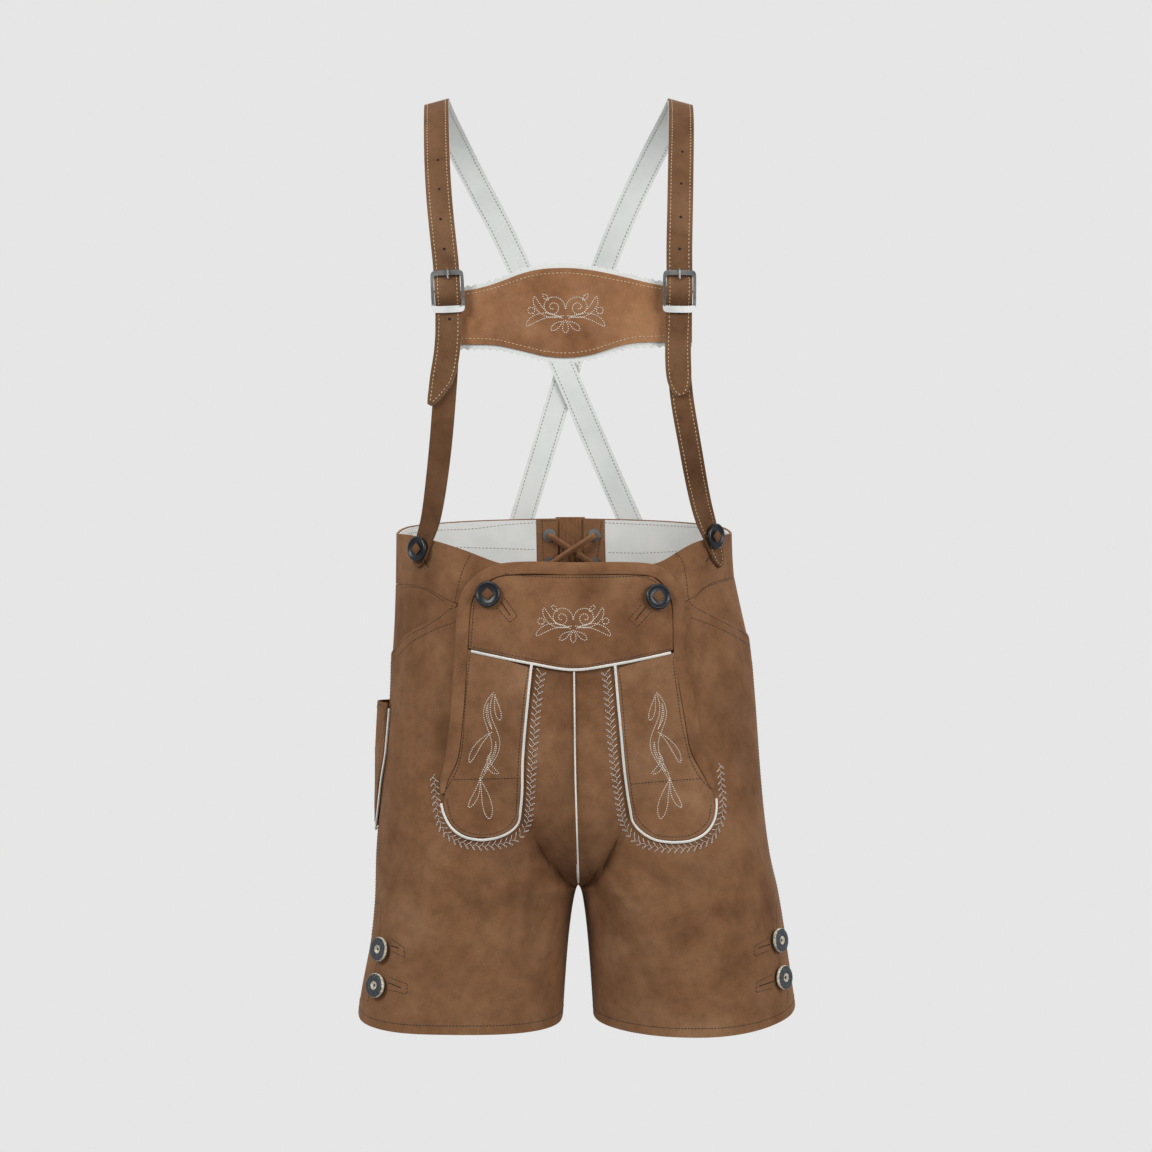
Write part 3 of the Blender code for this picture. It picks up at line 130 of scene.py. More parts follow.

# Darker and lighter places painted into the suede colour, among them painted shade between the pockets,
# beside the flap's left edge and at the fork: middle in metres, reach across, through and up, and tone
shadeAndTone = {
    "front_suede": [
        ((0.0, -0.10, -0.62), (0.040, 0.10, 0.16), 0.70), ((0.115, -0.09, -0.70), (0.085, 0.10, 0.030), 0.80),
        ((0.035, -0.08, -0.74), (0.030, 0.10, 0.055), 0.80),
        ((-0.035, -0.08, -0.74), (0.030, 0.10, 0.055), 0.84),
        ((-0.115, -0.09, -0.58), (0.018, 0.10, 0.11), 0.72),
        ((-0.150, -0.05, -0.46), (0.040, 0.12, 0.10), 0.86),
        ((-0.060, -0.09, -0.80), (0.050, 0.10, 0.045), 1.08),
        ((0.150, -0.05, -0.60), (0.060, 0.12, 0.08), 1.03),
        ((0.180, 0.0, -0.78), (0.050, 0.12, 0.09), 0.90), ((-0.165, 0.0, -0.72), (0.040, 0.12, 0.10), 0.92),
    ],
    "back_suede": [
        ((0.0, 0.11, -0.66), (0.050, 0.10, 0.09), 0.80), ((-0.09, 0.12, -0.60), (0.060, 0.10, 0.07), 1.12),
        ((0.09, 0.12, -0.60), (0.060, 0.10, 0.07), 1.10), ((0.10, 0.10, -0.79), (0.070, 0.10, 0.05), 0.90),
        ((-0.12, 0.10, -0.74), (0.050, 0.10, 0.06), 0.88), ((0.02, 0.11, -0.50), (0.090, 0.10, 0.04), 0.90),
    ],
    "waistband_suede": [
        ((-0.130, -0.06, -0.43), (0.035, 0.08, 0.045), 0.72),
        ((0.125, -0.06, -0.43), (0.030, 0.08, 0.045), 0.76),
        ((0.0, 0.12, -0.42), (0.060, 0.10, 0.05), 0.85),
    ],
    "flap_suede": [
        ((0.065, -0.11, -0.490), (0.045, 0.10, 0.030), 0.88),
        ((-0.045, -0.11, -0.455), (0.050, 0.10, 0.025), 1.06),
        ((-0.095, -0.11, -0.52), (0.020, 0.10, 0.08), 0.88),
    ],
    "pocket_suede": [
        ((-0.070, -0.11, -0.575), (0.025, 0.10, 0.045), 0.88),
        ((0.085, -0.11, -0.60), (0.028, 0.10, 0.05), 0.88),
        ((-0.080, -0.11, -0.655), (0.035, 0.10, 0.020), 1.05),
    ],
}

# A painted place breaks up at its edge: fineness and detail of that, its reach, and where the tone starts
shadeAndToneEdge = {"scale": 34.0, "detail": 4.0, "wander": 0.9, "full": 0.35}


def shadeAndToneSpot(nodes, links, spot):
    middle, reach, strength = spot
    coords = nodes.new("ShaderNodeTexCoord")
    away = nodes.new("ShaderNodeVectorMath")
    away.operation = "SUBTRACT"
    away.inputs[1].default_value = middle
    scaled = nodes.new("ShaderNodeVectorMath")
    scaled.operation = "DIVIDE"
    scaled.inputs[1].default_value = reach
    length = nodes.new("ShaderNodeVectorMath")
    length.operation = "LENGTH"
    links.new(coords.outputs["Object"], away.inputs[0])
    links.new(away.outputs["Vector"], scaled.inputs[0])
    links.new(scaled.outputs["Vector"], length.inputs[0])
    rugged = addNoise(nodes, links, coords.outputs["Object"], shadeAndToneEdge["scale"], shadeAndToneEdge["detail"])
    uneven = nodes.new("ShaderNodeMath")
    uneven.operation = "MULTIPLY_ADD"
    links.new(rugged, uneven.inputs[0])
    uneven.inputs[1].default_value = shadeAndToneEdge["wander"]
    links.new(length.outputs["Value"], uneven.inputs[2])
    stops = [(shadeAndToneEdge["full"], (strength,) * 3 + (1,)), (1.0, (1, 1, 1, 1))]
    return addRamp(nodes, links, uneven.outputs["Value"], stops)


def suedeMaterial(name, shift, lightness=1.0):
    made, nodes, links = newMaterial(name)
    shader = nodes["Principled BSDF"]
    coords = placedCoords(nodes, links, shift)
    broad = addNoise(nodes, links, coords, suedeLook["broad"], 3.0)
    mottle = addNoise(nodes, links, coords, suedeLook["mottle"], 5.0, 0.62)
    patch = addNoise(nodes, links, coords, suedeLook["patch"], 4.0, 0.6)
    nap = addNoise(nodes, links, coords, suedeLook["nap"], 3.0, 0.7)
    tooth = addNoise(nodes, links, coords, suedeLook["tooth"], 2.0)
    dark, mid, light = linear("suedeDark"), linear("suede"), linear("suedeLight")
    tones = [tuple(min(1.0, c * lightness) for c in tone[:3]) + (1,) for tone in (dark, mid, light)]
    base = addRamp(nodes, links, broad, [(0.30, tones[0]), (0.46, tones[1]), (0.60, tones[1]),
                                         (0.78, tones[2])])
    worn = addRamp(nodes, links, mottle, [(0.28, tones[0]), (0.47, tones[1]), (0.74, tones[2])])
    fleck = addRamp(nodes, links, patch, [(0.30, (0.72, 0.70, 0.68, 1)), (0.5, (1, 1, 1, 1)),
                                          (0.72, (1.16, 1.15, 1.13, 1))])
    grain = addRamp(nodes, links, nap, [(0.30, (0.84, 0.83, 0.82, 1)), (0.70, (1.12, 1.12, 1.11, 1))])
    tone = addMix(nodes, links, "MIX", suedeLook["wornShare"], base, worn)
    tone = addMix(nodes, links, "MULTIPLY", suedeLook["fleckShare"], tone, fleck)
    tone = addMix(nodes, links, "MULTIPLY", suedeLook["napShare"], tone, grain)
    # Painted shade and lighter places multiplied into the suede colour
    for spot in shadeAndTone.get(name, []):
        tone = addMix(nodes, links, "MULTIPLY", 1.0, tone, shadeAndToneSpot(nodes, links, spot))
    links.new(tone, shader.inputs["Base Color"])
    shader.inputs["Roughness"].default_value = suedeLook["rough"]
    shader.inputs["Specular IOR Level"].default_value = suedeLook["specular"]
    shader.inputs["Sheen Weight"].default_value = suedeLook["sheen"]
    shader.inputs["Sheen Roughness"].default_value = suedeLook["sheenRough"]
    shader.inputs["Sheen Tint"].default_value = tones[2]
    soft = addBump(nodes, links, patch, 0.25, 0.0006)
    normal = addBump(nodes, links, nap, suedeLook["bump"], 0.0004, soft)
    links.new(addBump(nodes, links, tooth, 0.3, 0.0002, normal), shader.inputs["Normal"])
    return made


def smoothLeather(name, main, shade, rough):
    made, nodes, links = newMaterial(name)
    shader = nodes["Principled BSDF"]
    coords = placedCoords(nodes, links, 3.1)
    cloud = addNoise(nodes, links, coords, 22.0, 4.0)
    pores = addNoise(nodes, links, coords, 1400.0, 2.0)
    tone = addRamp(nodes, links, cloud, [(0.32, linear(shade)), (0.58, linear(main))])
    links.new(tone, shader.inputs["Base Color"])
    shader.inputs["Roughness"].default_value = rough
    shader.inputs["Specular IOR Level"].default_value = 0.35
    soft = addBump(nodes, links, cloud, 0.2, 0.0006)
    links.new(addBump(nodes, links, pores, 0.25, 0.0002, soft), shader.inputs["Normal"])
    return made


def threadMaterial(name, colour):
    made, nodes, links = newMaterial(name)
    shader = nodes["Principled BSDF"]
    coords = placedCoords(nodes, links, 0.0)
    twist = nodes.new("ShaderNodeTexWave")
    twist.inputs["Scale"].default_value = 900.0
    twist.inputs["Distortion"].default_value = 2.0
    links.new(coords, twist.inputs["Vector"])
    main = linear(colour)
    shade = tuple(c * 0.72 for c in main[:3]) + (1,)
    links.new(addRamp(nodes, links, twist.outputs["Fac"], [(0.2, shade), (0.8, main)]),
              shader.inputs["Base Color"])
    shader.inputs["Roughness"].default_value = 0.62
    shader.inputs["Sheen Weight"].default_value = 0.1
    links.new(addBump(nodes, links, twist.outputs["Fac"], 0.4, 0.0002), shader.inputs["Normal"])
    return made


def polishedMaterial(name, main, rough, metallic, streaks, bumpScale):
    made, nodes, links = newMaterial(name)
    shader = nodes["Principled BSDF"]
    coords = placedCoords(nodes, links, 1.7)
    cloud = addNoise(nodes, links, coords, streaks, 5.0)
    fine = addNoise(nodes, links, coords, bumpScale, 3.0)
    tone = linear(main)
    low = tuple(c * 0.7 for c in tone[:3]) + (1,)
    high = tuple(min(1.0, c * 1.35) for c in tone[:3]) + (1,)
    links.new(addRamp(nodes, links, cloud, [(0.35, low), (0.65, high)]), shader.inputs["Base Color"])
    roughness = nodes.new("ShaderNodeMapRange")
    roughness.inputs["To Min"].default_value = rough * 0.7
    roughness.inputs["To Max"].default_value = rough * 1.4
    links.new(fine, roughness.inputs["Value"])
    links.new(roughness.outputs["Result"], shader.inputs["Roughness"])
    shader.inputs["Metallic"].default_value = metallic
    links.new(addBump(nodes, links, fine, 0.15, 0.0002), shader.inputs["Normal"])
    return made


# Carved face: cream rim and centre, slate between them; reads the disc's own radius
def antlerMaterial(name):
    made, nodes, links = newMaterial(name)
    shader = nodes["Principled BSDF"]
    coords = placedCoords(nodes, links, 0.4)
    radius = nodes.new("ShaderNodeAttribute")
    radius.attribute_name = "discRadius"
    grain = addNoise(nodes, links, coords, 420.0, 5.0, 0.7)
    wobble = nodes.new("ShaderNodeMath")
    wobble.operation = "MULTIPLY_ADD"
    links.new(grain, wobble.inputs[0])
    wobble.inputs[1].default_value = 0.07
    links.new(radius.outputs["Fac"], wobble.inputs[2])
    cream, slate = linear("antlerRim"), linear("antlerFace")
    # The darkest colour is painted shade in the button's middle hole; it also draws the dark ring round the
    # cream centre
    holeShadeAndRing = tuple(c * 0.35 for c in slate[:3]) + (1,)
    rings = addRamp(nodes, links, wobble.outputs["Value"],
                    [(0.13, holeShadeAndRing), (0.19, cream), (0.36, cream), (0.41, holeShadeAndRing), (0.47, slate), (0.98, slate),
                     (1.0, cream)])
    worn = addRamp(nodes, links, grain, [(0.38, (0.30, 0.30, 0.31, 1)), (0.52, (0.9, 0.9, 0.9, 1)),
                                         (0.66, (1.6, 1.6, 1.55, 1))])
    links.new(addMix(nodes, links, "MULTIPLY", 0.85, rings, worn), shader.inputs["Base Color"])
    shader.inputs["Roughness"].default_value = 0.48
    links.new(addBump(nodes, links, grain, 0.8, 0.0006), shader.inputs["Normal"])
    return made


looks = {
    "frontSuede": suedeMaterial("front_suede", 0.0, 0.96),
    "backSuede": suedeMaterial("back_suede", 2.3, 0.96),
    "bandSuede": suedeMaterial("waistband_suede", 4.1, 1.0),
    "flapSuede": suedeMaterial("flap_suede", 6.4, 1.03),
    "pocketSuede": suedeMaterial("pocket_suede", 8.2, 0.94),
    "strapSuede": suedeMaterial("strap_suede", 10.9, 0.66),
    "chestSuede": suedeMaterial("chest_suede", 13.3, 1.48),
    "whiteLeather": smoothLeather("white_leather", "whiteLeather", "whiteShade", 0.62),
    # The waist lining is a lighter copy of the white leather: painted light inside the waist
    "liningLeather": smoothLeather("lining_leather", "liningLitWhite", "whiteLeather", 0.62),
    "pipingLeather": smoothLeather("piping_leather", "piping", "whiteLeather", 0.55),
    "darkThread": threadMaterial("dark_thread", "darkThread"),
    "creamThread": threadMaterial("cream_thread", "creamThread"),
    "whiteThread": threadMaterial("white_thread", "whiteThread"),
    "greyThread": threadMaterial("grey_thread", "greyThread"),
    "vineThread": threadMaterial("vine_thread", "vineThread"),
    "horn": polishedMaterial("dark_horn", "horn", 0.34, 0.0, 160.0, 700.0),
    "antler": antlerMaterial("carved_antler"),
    "nickel": polishedMaterial("nickel_plate", "nickel", 0.34, 1.0, 60.0, 900.0),
    # Painted highlight for the buckle's bottom bar
    "barGlint": polishedMaterial("bar_painted_glint", "barGlint", 0.2, 0.2, 20.0, 500.0),
    # Painted shade for holes, slits and eyelet bores
    "holeShade": polishedMaterial("hole_shadow", "holeShade", 0.9, 0.0, 90.0, 500.0),
}
print("materials made")


def link(obj):
    bpy.context.scene.collection.objects.link(obj)
    return obj


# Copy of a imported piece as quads, with its sharp edges held
def quadCopy(nodeName, sharpDegrees):
    shape = bmesh.new()
    shape.from_mesh(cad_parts[nodeName].data)
    bmesh.ops.remove_doubles(shape, verts=shape.verts, dist=0.00001)
    bmesh.ops.join_triangles(shape, faces=shape.faces, angle_face_threshold=0.7, angle_shape_threshold=3.1)
    crease = shape.edges.layers.float.new("crease_edge")
    for edge in shape.edges:
        if edge.is_manifold and edge.calc_face_angle() > math.radians(sharpDegrees):
            edge[crease] = 1.0
    mesh = bpy.data.meshes.new(nodeName)
    shape.to_mesh(mesh)
    shape.free()
    return mesh


def asMesh(obj):
    graph = bpy.context.evaluated_depsgraph_get()
    mesh = bpy.data.meshes.new_from_object(obj.evaluated_get(graph))
    obj.modifiers.clear()
    obj.data = mesh
    return obj


# Soft creases: where they lie in the photograph's frame, turn from upright in degrees,
# half length and half width in millimetres, and depth in steps of folds["step"]. Behind, across is
# counted in the same way.
creases = {
    "front": [
        (556, 880, 38, 34, 7, -2.0), (525, 905, 4, 36, 4.5, 1.5), (515, 902, 3, 40, 6, -1.2),
        (590, 880, -24, 30, 5, -2.0), (602, 872, -28, 30, 5, 1.3), (616, 884, -40, 34, 6, -1.6),
        (628, 905, -34, 42, 8, 1.4), (652, 880, -62, 46, 8, -1.3), (520, 868, 60, 40, 8, -1.2),
        (545, 950, 14, 36, 6, 1.2), (640, 945, -28, 44, 6, 1.2), (690, 900, -40, 40, 7, 1.1),
        (505, 935, 10, 46, 10, 1.3), (470, 925, -8, 52, 11, -1.5), (420, 905, -14, 60, 12, 1.4),
        (735, 905, 16, 56, 12, 1.3), (700, 930, 4, 50, 11, -1.4), (655, 955, -8, 46, 10, 1.2),
        (745, 760, -22, 52, 11, -1.4), (742, 700, 12, 48, 10, 1.3), (412, 700, 8, 54, 11, -1.3),
        (410, 780, -12, 48, 10, 1.2), (428, 600, 26, 20, 6, -1.0), (716, 590, -28, 20, 6, -1.0),
        (590, 760, 6, 40, 8, 0.7), (558, 740, -8, 44, 8, -0.7), (415, 850, 30, 40, 9, -1.2),
        (742, 845, -34, 44, 9, 1.2),
    ],
    "back": [
        (560, 860, 36, 40, 9, -2.4), (596, 860, -36, 40, 9, -2.4), (540, 895, 52, 44, 9, 1.8),
        (618, 898, -48, 44, 9, 1.8), (500, 940, 12, 52, 11, -1.4), (660, 945, -10, 52, 11, -1.4),
        (440, 900, -12, 56, 12, 1.4), (720, 895, 14, 56, 12, 1.4), (480, 700, 18, 60, 12, 1.1),
        (670, 690, -16, 60, 12, 1.1), (520, 610, -30, 34, 9, -1.0), (640, 615, 28, 34, 9, -1.0),
        (430, 780, 8, 50, 11, -1.2), (735, 775, -10, 50, 11, -1.2),
    ],
}
# Ripples: how often across and up, size in millimetres and phase
ripples = [(41.0, 23.0, 0.30, 0.4), (-33.0, 52.0, 0.26, 1.9), (74.0, -38.0, 0.16, 3.3),
           (95.0, 88.0, 0.10, 5.0)]
folds = {"step": 0.0016, "nearer": 0.96, "blend": 0.012, "sway": 30, "rippleFade": 0.05}
seams = {"side": 0.006, "middle": 0.0055, "reach": 0.006, "overlap": 0.0007, "vent": 0.0009,
         "ventTop": -0.780, "ventFade": 0.02}
metresPerPixel = view["sensor"] / view["lens"] * abs(view["eye"].y) / view["side"]


# The same soft shift for every leather piece that takes it, so that layers stay together
def softShift(points):
    x, y, z = points.T
    shift = np.zeros_like(points)
    middle = view["side"] / 2
    for face, rows in creases.items():
        outward = -1.0 if face == "front" else 1.0
        facing = 1 / (1 + np.exp(-outward * (y - seams["side"]) / folds["blend"]))
        for across, down, turn, length, width, depth in rows:
            cx = view["eye"].x + (across - middle) * metresPerPixel * folds["nearer"]
            cz = view["eye"].z - (down - middle) * metresPerPixel * folds["nearer"]
            angle = math.radians(turn)
            along = (z - cz) * math.cos(angle) + (x - cx) * math.sin(angle)
            aside = (x - cx) * math.cos(angle) - (z - cz) * math.sin(angle)
            amount = np.exp(-((along * 1000 / length) ** 2) - (aside * 1000 / width) ** 2)
            shift[:, 1] += outward * depth * folds["step"] * amount * facing
    for kx, kz, size, phase in ripples:
        wave = size * 0.001 * np.sin(kx * x + kz * z + phase + folds["sway"] * y)
        fade = np.clip(abs(y - seams["side"]) / folds["rippleFade"], 0, 1)
        shift[:, 1] += np.where(y < seams["side"], -1, 1) * wave * fade
    return shift


# Panels that meet edge to edge are drawn together, as sewing does
def closeSeams(nodeName, points):
    near = np.clip(1 - abs(points[:, 1] - seams["side"]) / seams["reach"], 0, 1)
    if nodeName.endswith("left"):
        below = np.clip((seams["ventTop"] - points[:, 2]) / seams["ventFade"], 0, 1)
        near *= 1 + seams["vent"] / seams["overlap"] * below
    if nodeName.startswith(("front_panel", "front_waistband", "hip_yoke")):
        points[:, 1] += near * seams["overlap"]
    elif nodeName.startswith(("back_panel", "back_waistband")):
        points[:, 1] -= near * seams["overlap"]
    if nodeName.startswith(("front_panel", "back_panel")):
        near = np.clip(1 - abs(points[:, 0] - seams["middle"]) / seams["reach"], 0, 1)
        points[:, 0] += near * seams["overlap"] * (1 if nodeName.endswith("left") else -1)


def dress(nodeName, pieceName, look, levels=2, sharpDegrees=42, soft=True):
    obj = link(bpy.data.objects.new(pieceName, quadCopy(nodeName, sharpDegrees)))
    if levels:
        surface = obj.modifiers.new("Smooth", "SUBSURF")
        surface.levels = levels
        surface.render_levels = levels
        asMesh(obj)
    if soft:
        points = np.zeros(len(obj.data.vertices) * 3)
        obj.data.vertices.foreach_get("co", points)
        points = points.reshape(-1, 3)
        points += softShift(points)
        closeSeams(nodeName, points)
        obj.data.vertices.foreach_set("co", points.ravel())
    obj.data.materials.clear()
    obj.data.materials.append(looks[look])
    obj.data.shade_smooth()
    obj.data.set_sharp_from_angle(angle=math.radians(38))
    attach(obj, "root")
    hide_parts(nodeName)
    return obj


bothSides = ("left", "right")

# Leather pieces: look, how fine, flat width and length in metres, area, how held and on what
sheets = {
    "front_panel": ("frontSuede", 3, (0.32, 0.40), 0.103, "hung", ["front_waistband"]),
    "back_panel": ("backSuede", 3, (0.32, 0.42), 0.109, "hung", ["back_waistband"]),
    "hip_yoke": ("bandSuede", 3, (0.11, 0.065), 0.0050, "hung", ["front_waistband"]),
    "front_waistband": ("bandSuede", 3, (0.21, 0.065), 0.0092, "stretched", []),
    "back_waistband": ("bandSuede", 2, (0.19, 0.062), 0.0112, "stretched", []),
    "waist_lining": ("liningLeather", 3, (0.16, 0.060), 0.0093, "stretched", ["back_waistband"]),
    "eyelet_facing": ("bandSuede", 2, (0.022, 0.059), None, "stretched", ["back_waistband"]),
    "flap_pocket": ("pocketSuede", 3, (0.085, 0.162), 0.0100, "laid", ["front_panel"]),
    "vent_underlap": ("frontSuede", 2, (0.070, 0.092), None, "hung", ["front_panel"]),
    "strap_upper": ("strapSuede", 3, (0.023, 0.90), None, "hung", ["strap_lining"]),
    "strap_lining": ("whiteLeather", 3, (0.023, 0.90), None, "hung", ["strap_upper"]),
    "strap_lower": ("strapSuede", 3, (0.0205, 0.285), None, "hung", ["buckle"]),
}
singles = {
    "flap_yoke": ("flapSuede", 2, (0.182, 0.083), 0.0137, "laid", ["front_panel_left", "front_panel_right"]),
    "flap_binding": ("flapSuede", 2, (0.0125, 0.62), None, "laid", ["front_panel_left", "front_panel_right"]),
    "back_gusset": ("bandSuede", 2, (0.034, 0.115), None, "gathered", ["back_panel_left"]),
    "knife_pocket": ("pocketSuede", 2, (0.085, 0.117), None, "laid", ["front_panel_left"]),
    "chest_piece": ("chestSuede", 3, (0.232, 0.080), 0.0146, "hung", ["strap_lower_left"]),
    "chest_backing": ("whiteLeather", 0, (0.232, 0.090), 0.0163, "hung", ["chest_piece"]),
    "back_cross_patch": ("strapSuede", 3, (0.023, 0.056), 0.00065, "laid", ["strap_upper_right"]),
}
leather = {}


for stem, row in sheets.items():
    for side in bothSides:
        name = f"{stem}_{side}"
        free = not stem.startswith("strap")
        leather[name] = dress(name, f"{name}_leather", row[0], row[1], soft=free)
for name, row in singles.items():
    leather[name] = dress(name, f"{name}_leather", row[0], row[1], soft=not name.startswith("chest"))
for name in ("yoke_piping", "pocket_piping_left", "pocket_piping_right", "centre_piping",
             "knife_pocket_piping"):
    leather[name] = dress(name, f"{name}_leather", "pipingLeather", 2, 60)

# Pieces that reach a little further than their solids: across about their middle, and up at the top edge
reaches = {
    "back_gusset": (1.16, 0.0), "yoke_piping": (1.035, 0.0), "centre_piping": (1.0, 0.003),
    "flap_pocket_left": (1.0, 0.0055), "flap_pocket_right": (1.0, 0.0055),
    "pocket_piping_left": (1.0, 0.0055), "pocket_piping_right": (1.0, 0.0055),
}
finishing = {"topFade": 0.035, "whiteFacing": 0.55, "thongGrowth": 1.35, "bottomBar": 0.0062,
             "laceSwell": 0.0010}


def reachFurther(piece, across, up=0.0):
    xs = [v.co.x for v in piece.data.vertices]
    top = max(v.co.z for v in piece.data.vertices)
    middle = (min(xs) + max(xs)) / 2
    for vertex in piece.data.vertices:
        vertex.co.x = middle + (vertex.co.x - middle) * across
        share = max(0.0, 1 - (top - vertex.co.z) / finishing["topFade"])
        vertex.co.z += up * share * share * (3 - 2 * share)


for name, (across, up) in reaches.items():
    reachFurther(leather[name], across, up)
for side in bothSides:
    lower = leather[f"strap_lower_{side}"]
    lower.data.materials.append(looks["whiteLeather"])
    for polygon in lower.data.polygons:
        polygon.material_index = 1 if polygon.normal.y > finishing["whiteFacing"] else 0
for name, piece in leather.items():
    look = next((k for k, v in looks.items() if v == piece.data.materials[0]), "")
print("leather pieces dressed:", len(leather))

# Hard pieces keep their places and get rounder
hard = {
    "flap_button": ("horn", 2, 65), "brace_button": ("horn", 2, 65), "back_button": ("horn", 2, 65),
    "flap_thong": ("strapSuede", 2, 80), "brace_thong": ("strapSuede", 2, 80),
    "buckle": ("nickel", 2, 50), "prong": ("nickel", 2, 70),
}
for stem, (look, levels, sharp) in hard.items():
    for side in bothSides:
        name = f"{stem}_{side}"
        piece = dress(name, f"{name}_finish", look, levels, sharp, soft=False)
        if stem.endswith("thong"):
            reachFurther(piece, finishing["thongGrowth"])
            heights = [v.co.z for v in piece.data.vertices]
            centre = (min(heights) + max(heights)) / 2
            for vertex in piece.data.vertices:
                vertex.co.z = centre + (vertex.co.z - centre) * finishing["thongGrowth"]
        # The buckle's bottom bar gets a near-white, barely metallic copy of the nickel: a painted highlight
        if stem == "buckle":
            low = min(v.co.z for v in piece.data.vertices) + finishing["bottomBar"]
            piece.data.materials.append(looks["barGlint"])
            for polygon in piece.data.polygons:
                polygon.material_index = 1 if polygon.center.z < low else 0
eyelets = []
for name in ("left_upper", "left_lower", "right_upper", "right_lower"):
    eyelet = dress(f"eyelet_{name}", f"eyelet_{name}_finish", "nickel", 2, 60, soft=False)
    eyelets.append(eyelet)
    button = dress(f"hem_button_{name}", f"hem_button_{name}_finish", "antler", 2, 65, soft=False)
    points = np.array([v.co for v in button.data.vertices])
    centre = points.mean(0)
    axis = np.linalg.svd(points - centre, full_matrices=False)[2][2]
    radial = points - centre - np.outer((points - centre) @ axis, axis)
    attribute = button.data.attributes.new("discRadius", "FLOAT", "POINT")
    size = np.linalg.norm(radial, axis=1)
    attribute.data.foreach_set("value", (size / size.max()).astype(np.float32))
lace = dress("lace", "lace_leather", "bandSuede", 2, 75, soft=False)
swell = [(v, v.normal * finishing["laceSwell"]) for v in lace.data.vertices]
for vertex, outward in swell:
    vertex.co += outward
print("hard pieces dressed")


# One tree of the named leather pieces, for placing sewing on it
def leatherTree(names):
    points = []
    faces = []
    for name in names:
        mesh = leather[name].data
        mesh.calc_loop_triangles()
        start = len(points)
        points += [v.co.copy() for v in mesh.vertices]
        faces += [tuple(start + i for i in t.vertices) for t in mesh.loop_triangles]
    return BVHTree.FromPolygons(points, faces)


clothOnly = leatherTree([n for n in leather if "piping" not in n])


# Where the line of sight through a place in the photograph meets the leather, and the way it faces
def seen(across, down, tree=clothOnly, lift=0.0):
    middle = view["side"] / 2
    step = view["sensor"] / view["lens"] / view["side"]
    sight = Vector(((across - middle) * step, 1.0, -(down - middle) * step)).normalized()
    spot, normal, _, _ = tree.ray_cast(view["eye"], sight)
    if spot is None:
        return None
    if normal.dot(sight) > 0:
        normal = -normal
    return spot + normal * lift, normal


def cast(start, direction, lift=0.0, tree=clothOnly):
    spot, normal, _, _ = tree.ray_cast(Vector(start), Vector(direction).normalized())
    if spot is None:
        return None
    if normal.dot(Vector(direction)) > 0:
        normal = -normal
    return spot + normal * lift, normal


# Even steps along a smooth line through a few places
def smoothLine(corners, step, closed=False):
    pts = [Vector(c) for c in corners]
    if closed:
        pts = [pts[-1]] + pts + pts[:2]
    else:
        pts = [2 * pts[0] - pts[1]] + pts + [2 * pts[-1] - pts[-2]]
    fine = []
    for a, b, c, d in zip(pts, pts[1:], pts[2:], pts[3:]):
        count = max(2, int((c - b).length / step))
        for i in range(count):
            t = i / count
            fine.append(0.5 * (2 * b + (c - a) * t + (2 * a - 5 * b + 4 * c - d) * t * t
                               + (3 * b - a - 3 * c + d) * t ** 3))
    fine.append(pts[-2])
    return fine


def onPhoto(corners, lift, step=4.0, straight=False, closed=False, tree=clothOnly):
    line = []
    if straight:
        for a, b in zip(corners, corners[1:]):
            a, b = Vector(a), Vector(b)
            count = max(1, int((b - a).length / step))
            line += [a.lerp(b, i / count) for i in range(count)]
        line.append(Vector(corners[-1]))
    else:
        line = smoothLine(corners, step, closed)
    found = [seen(p.x, p.y, tree, lift) for p in line]
    return [f for f in found if f]


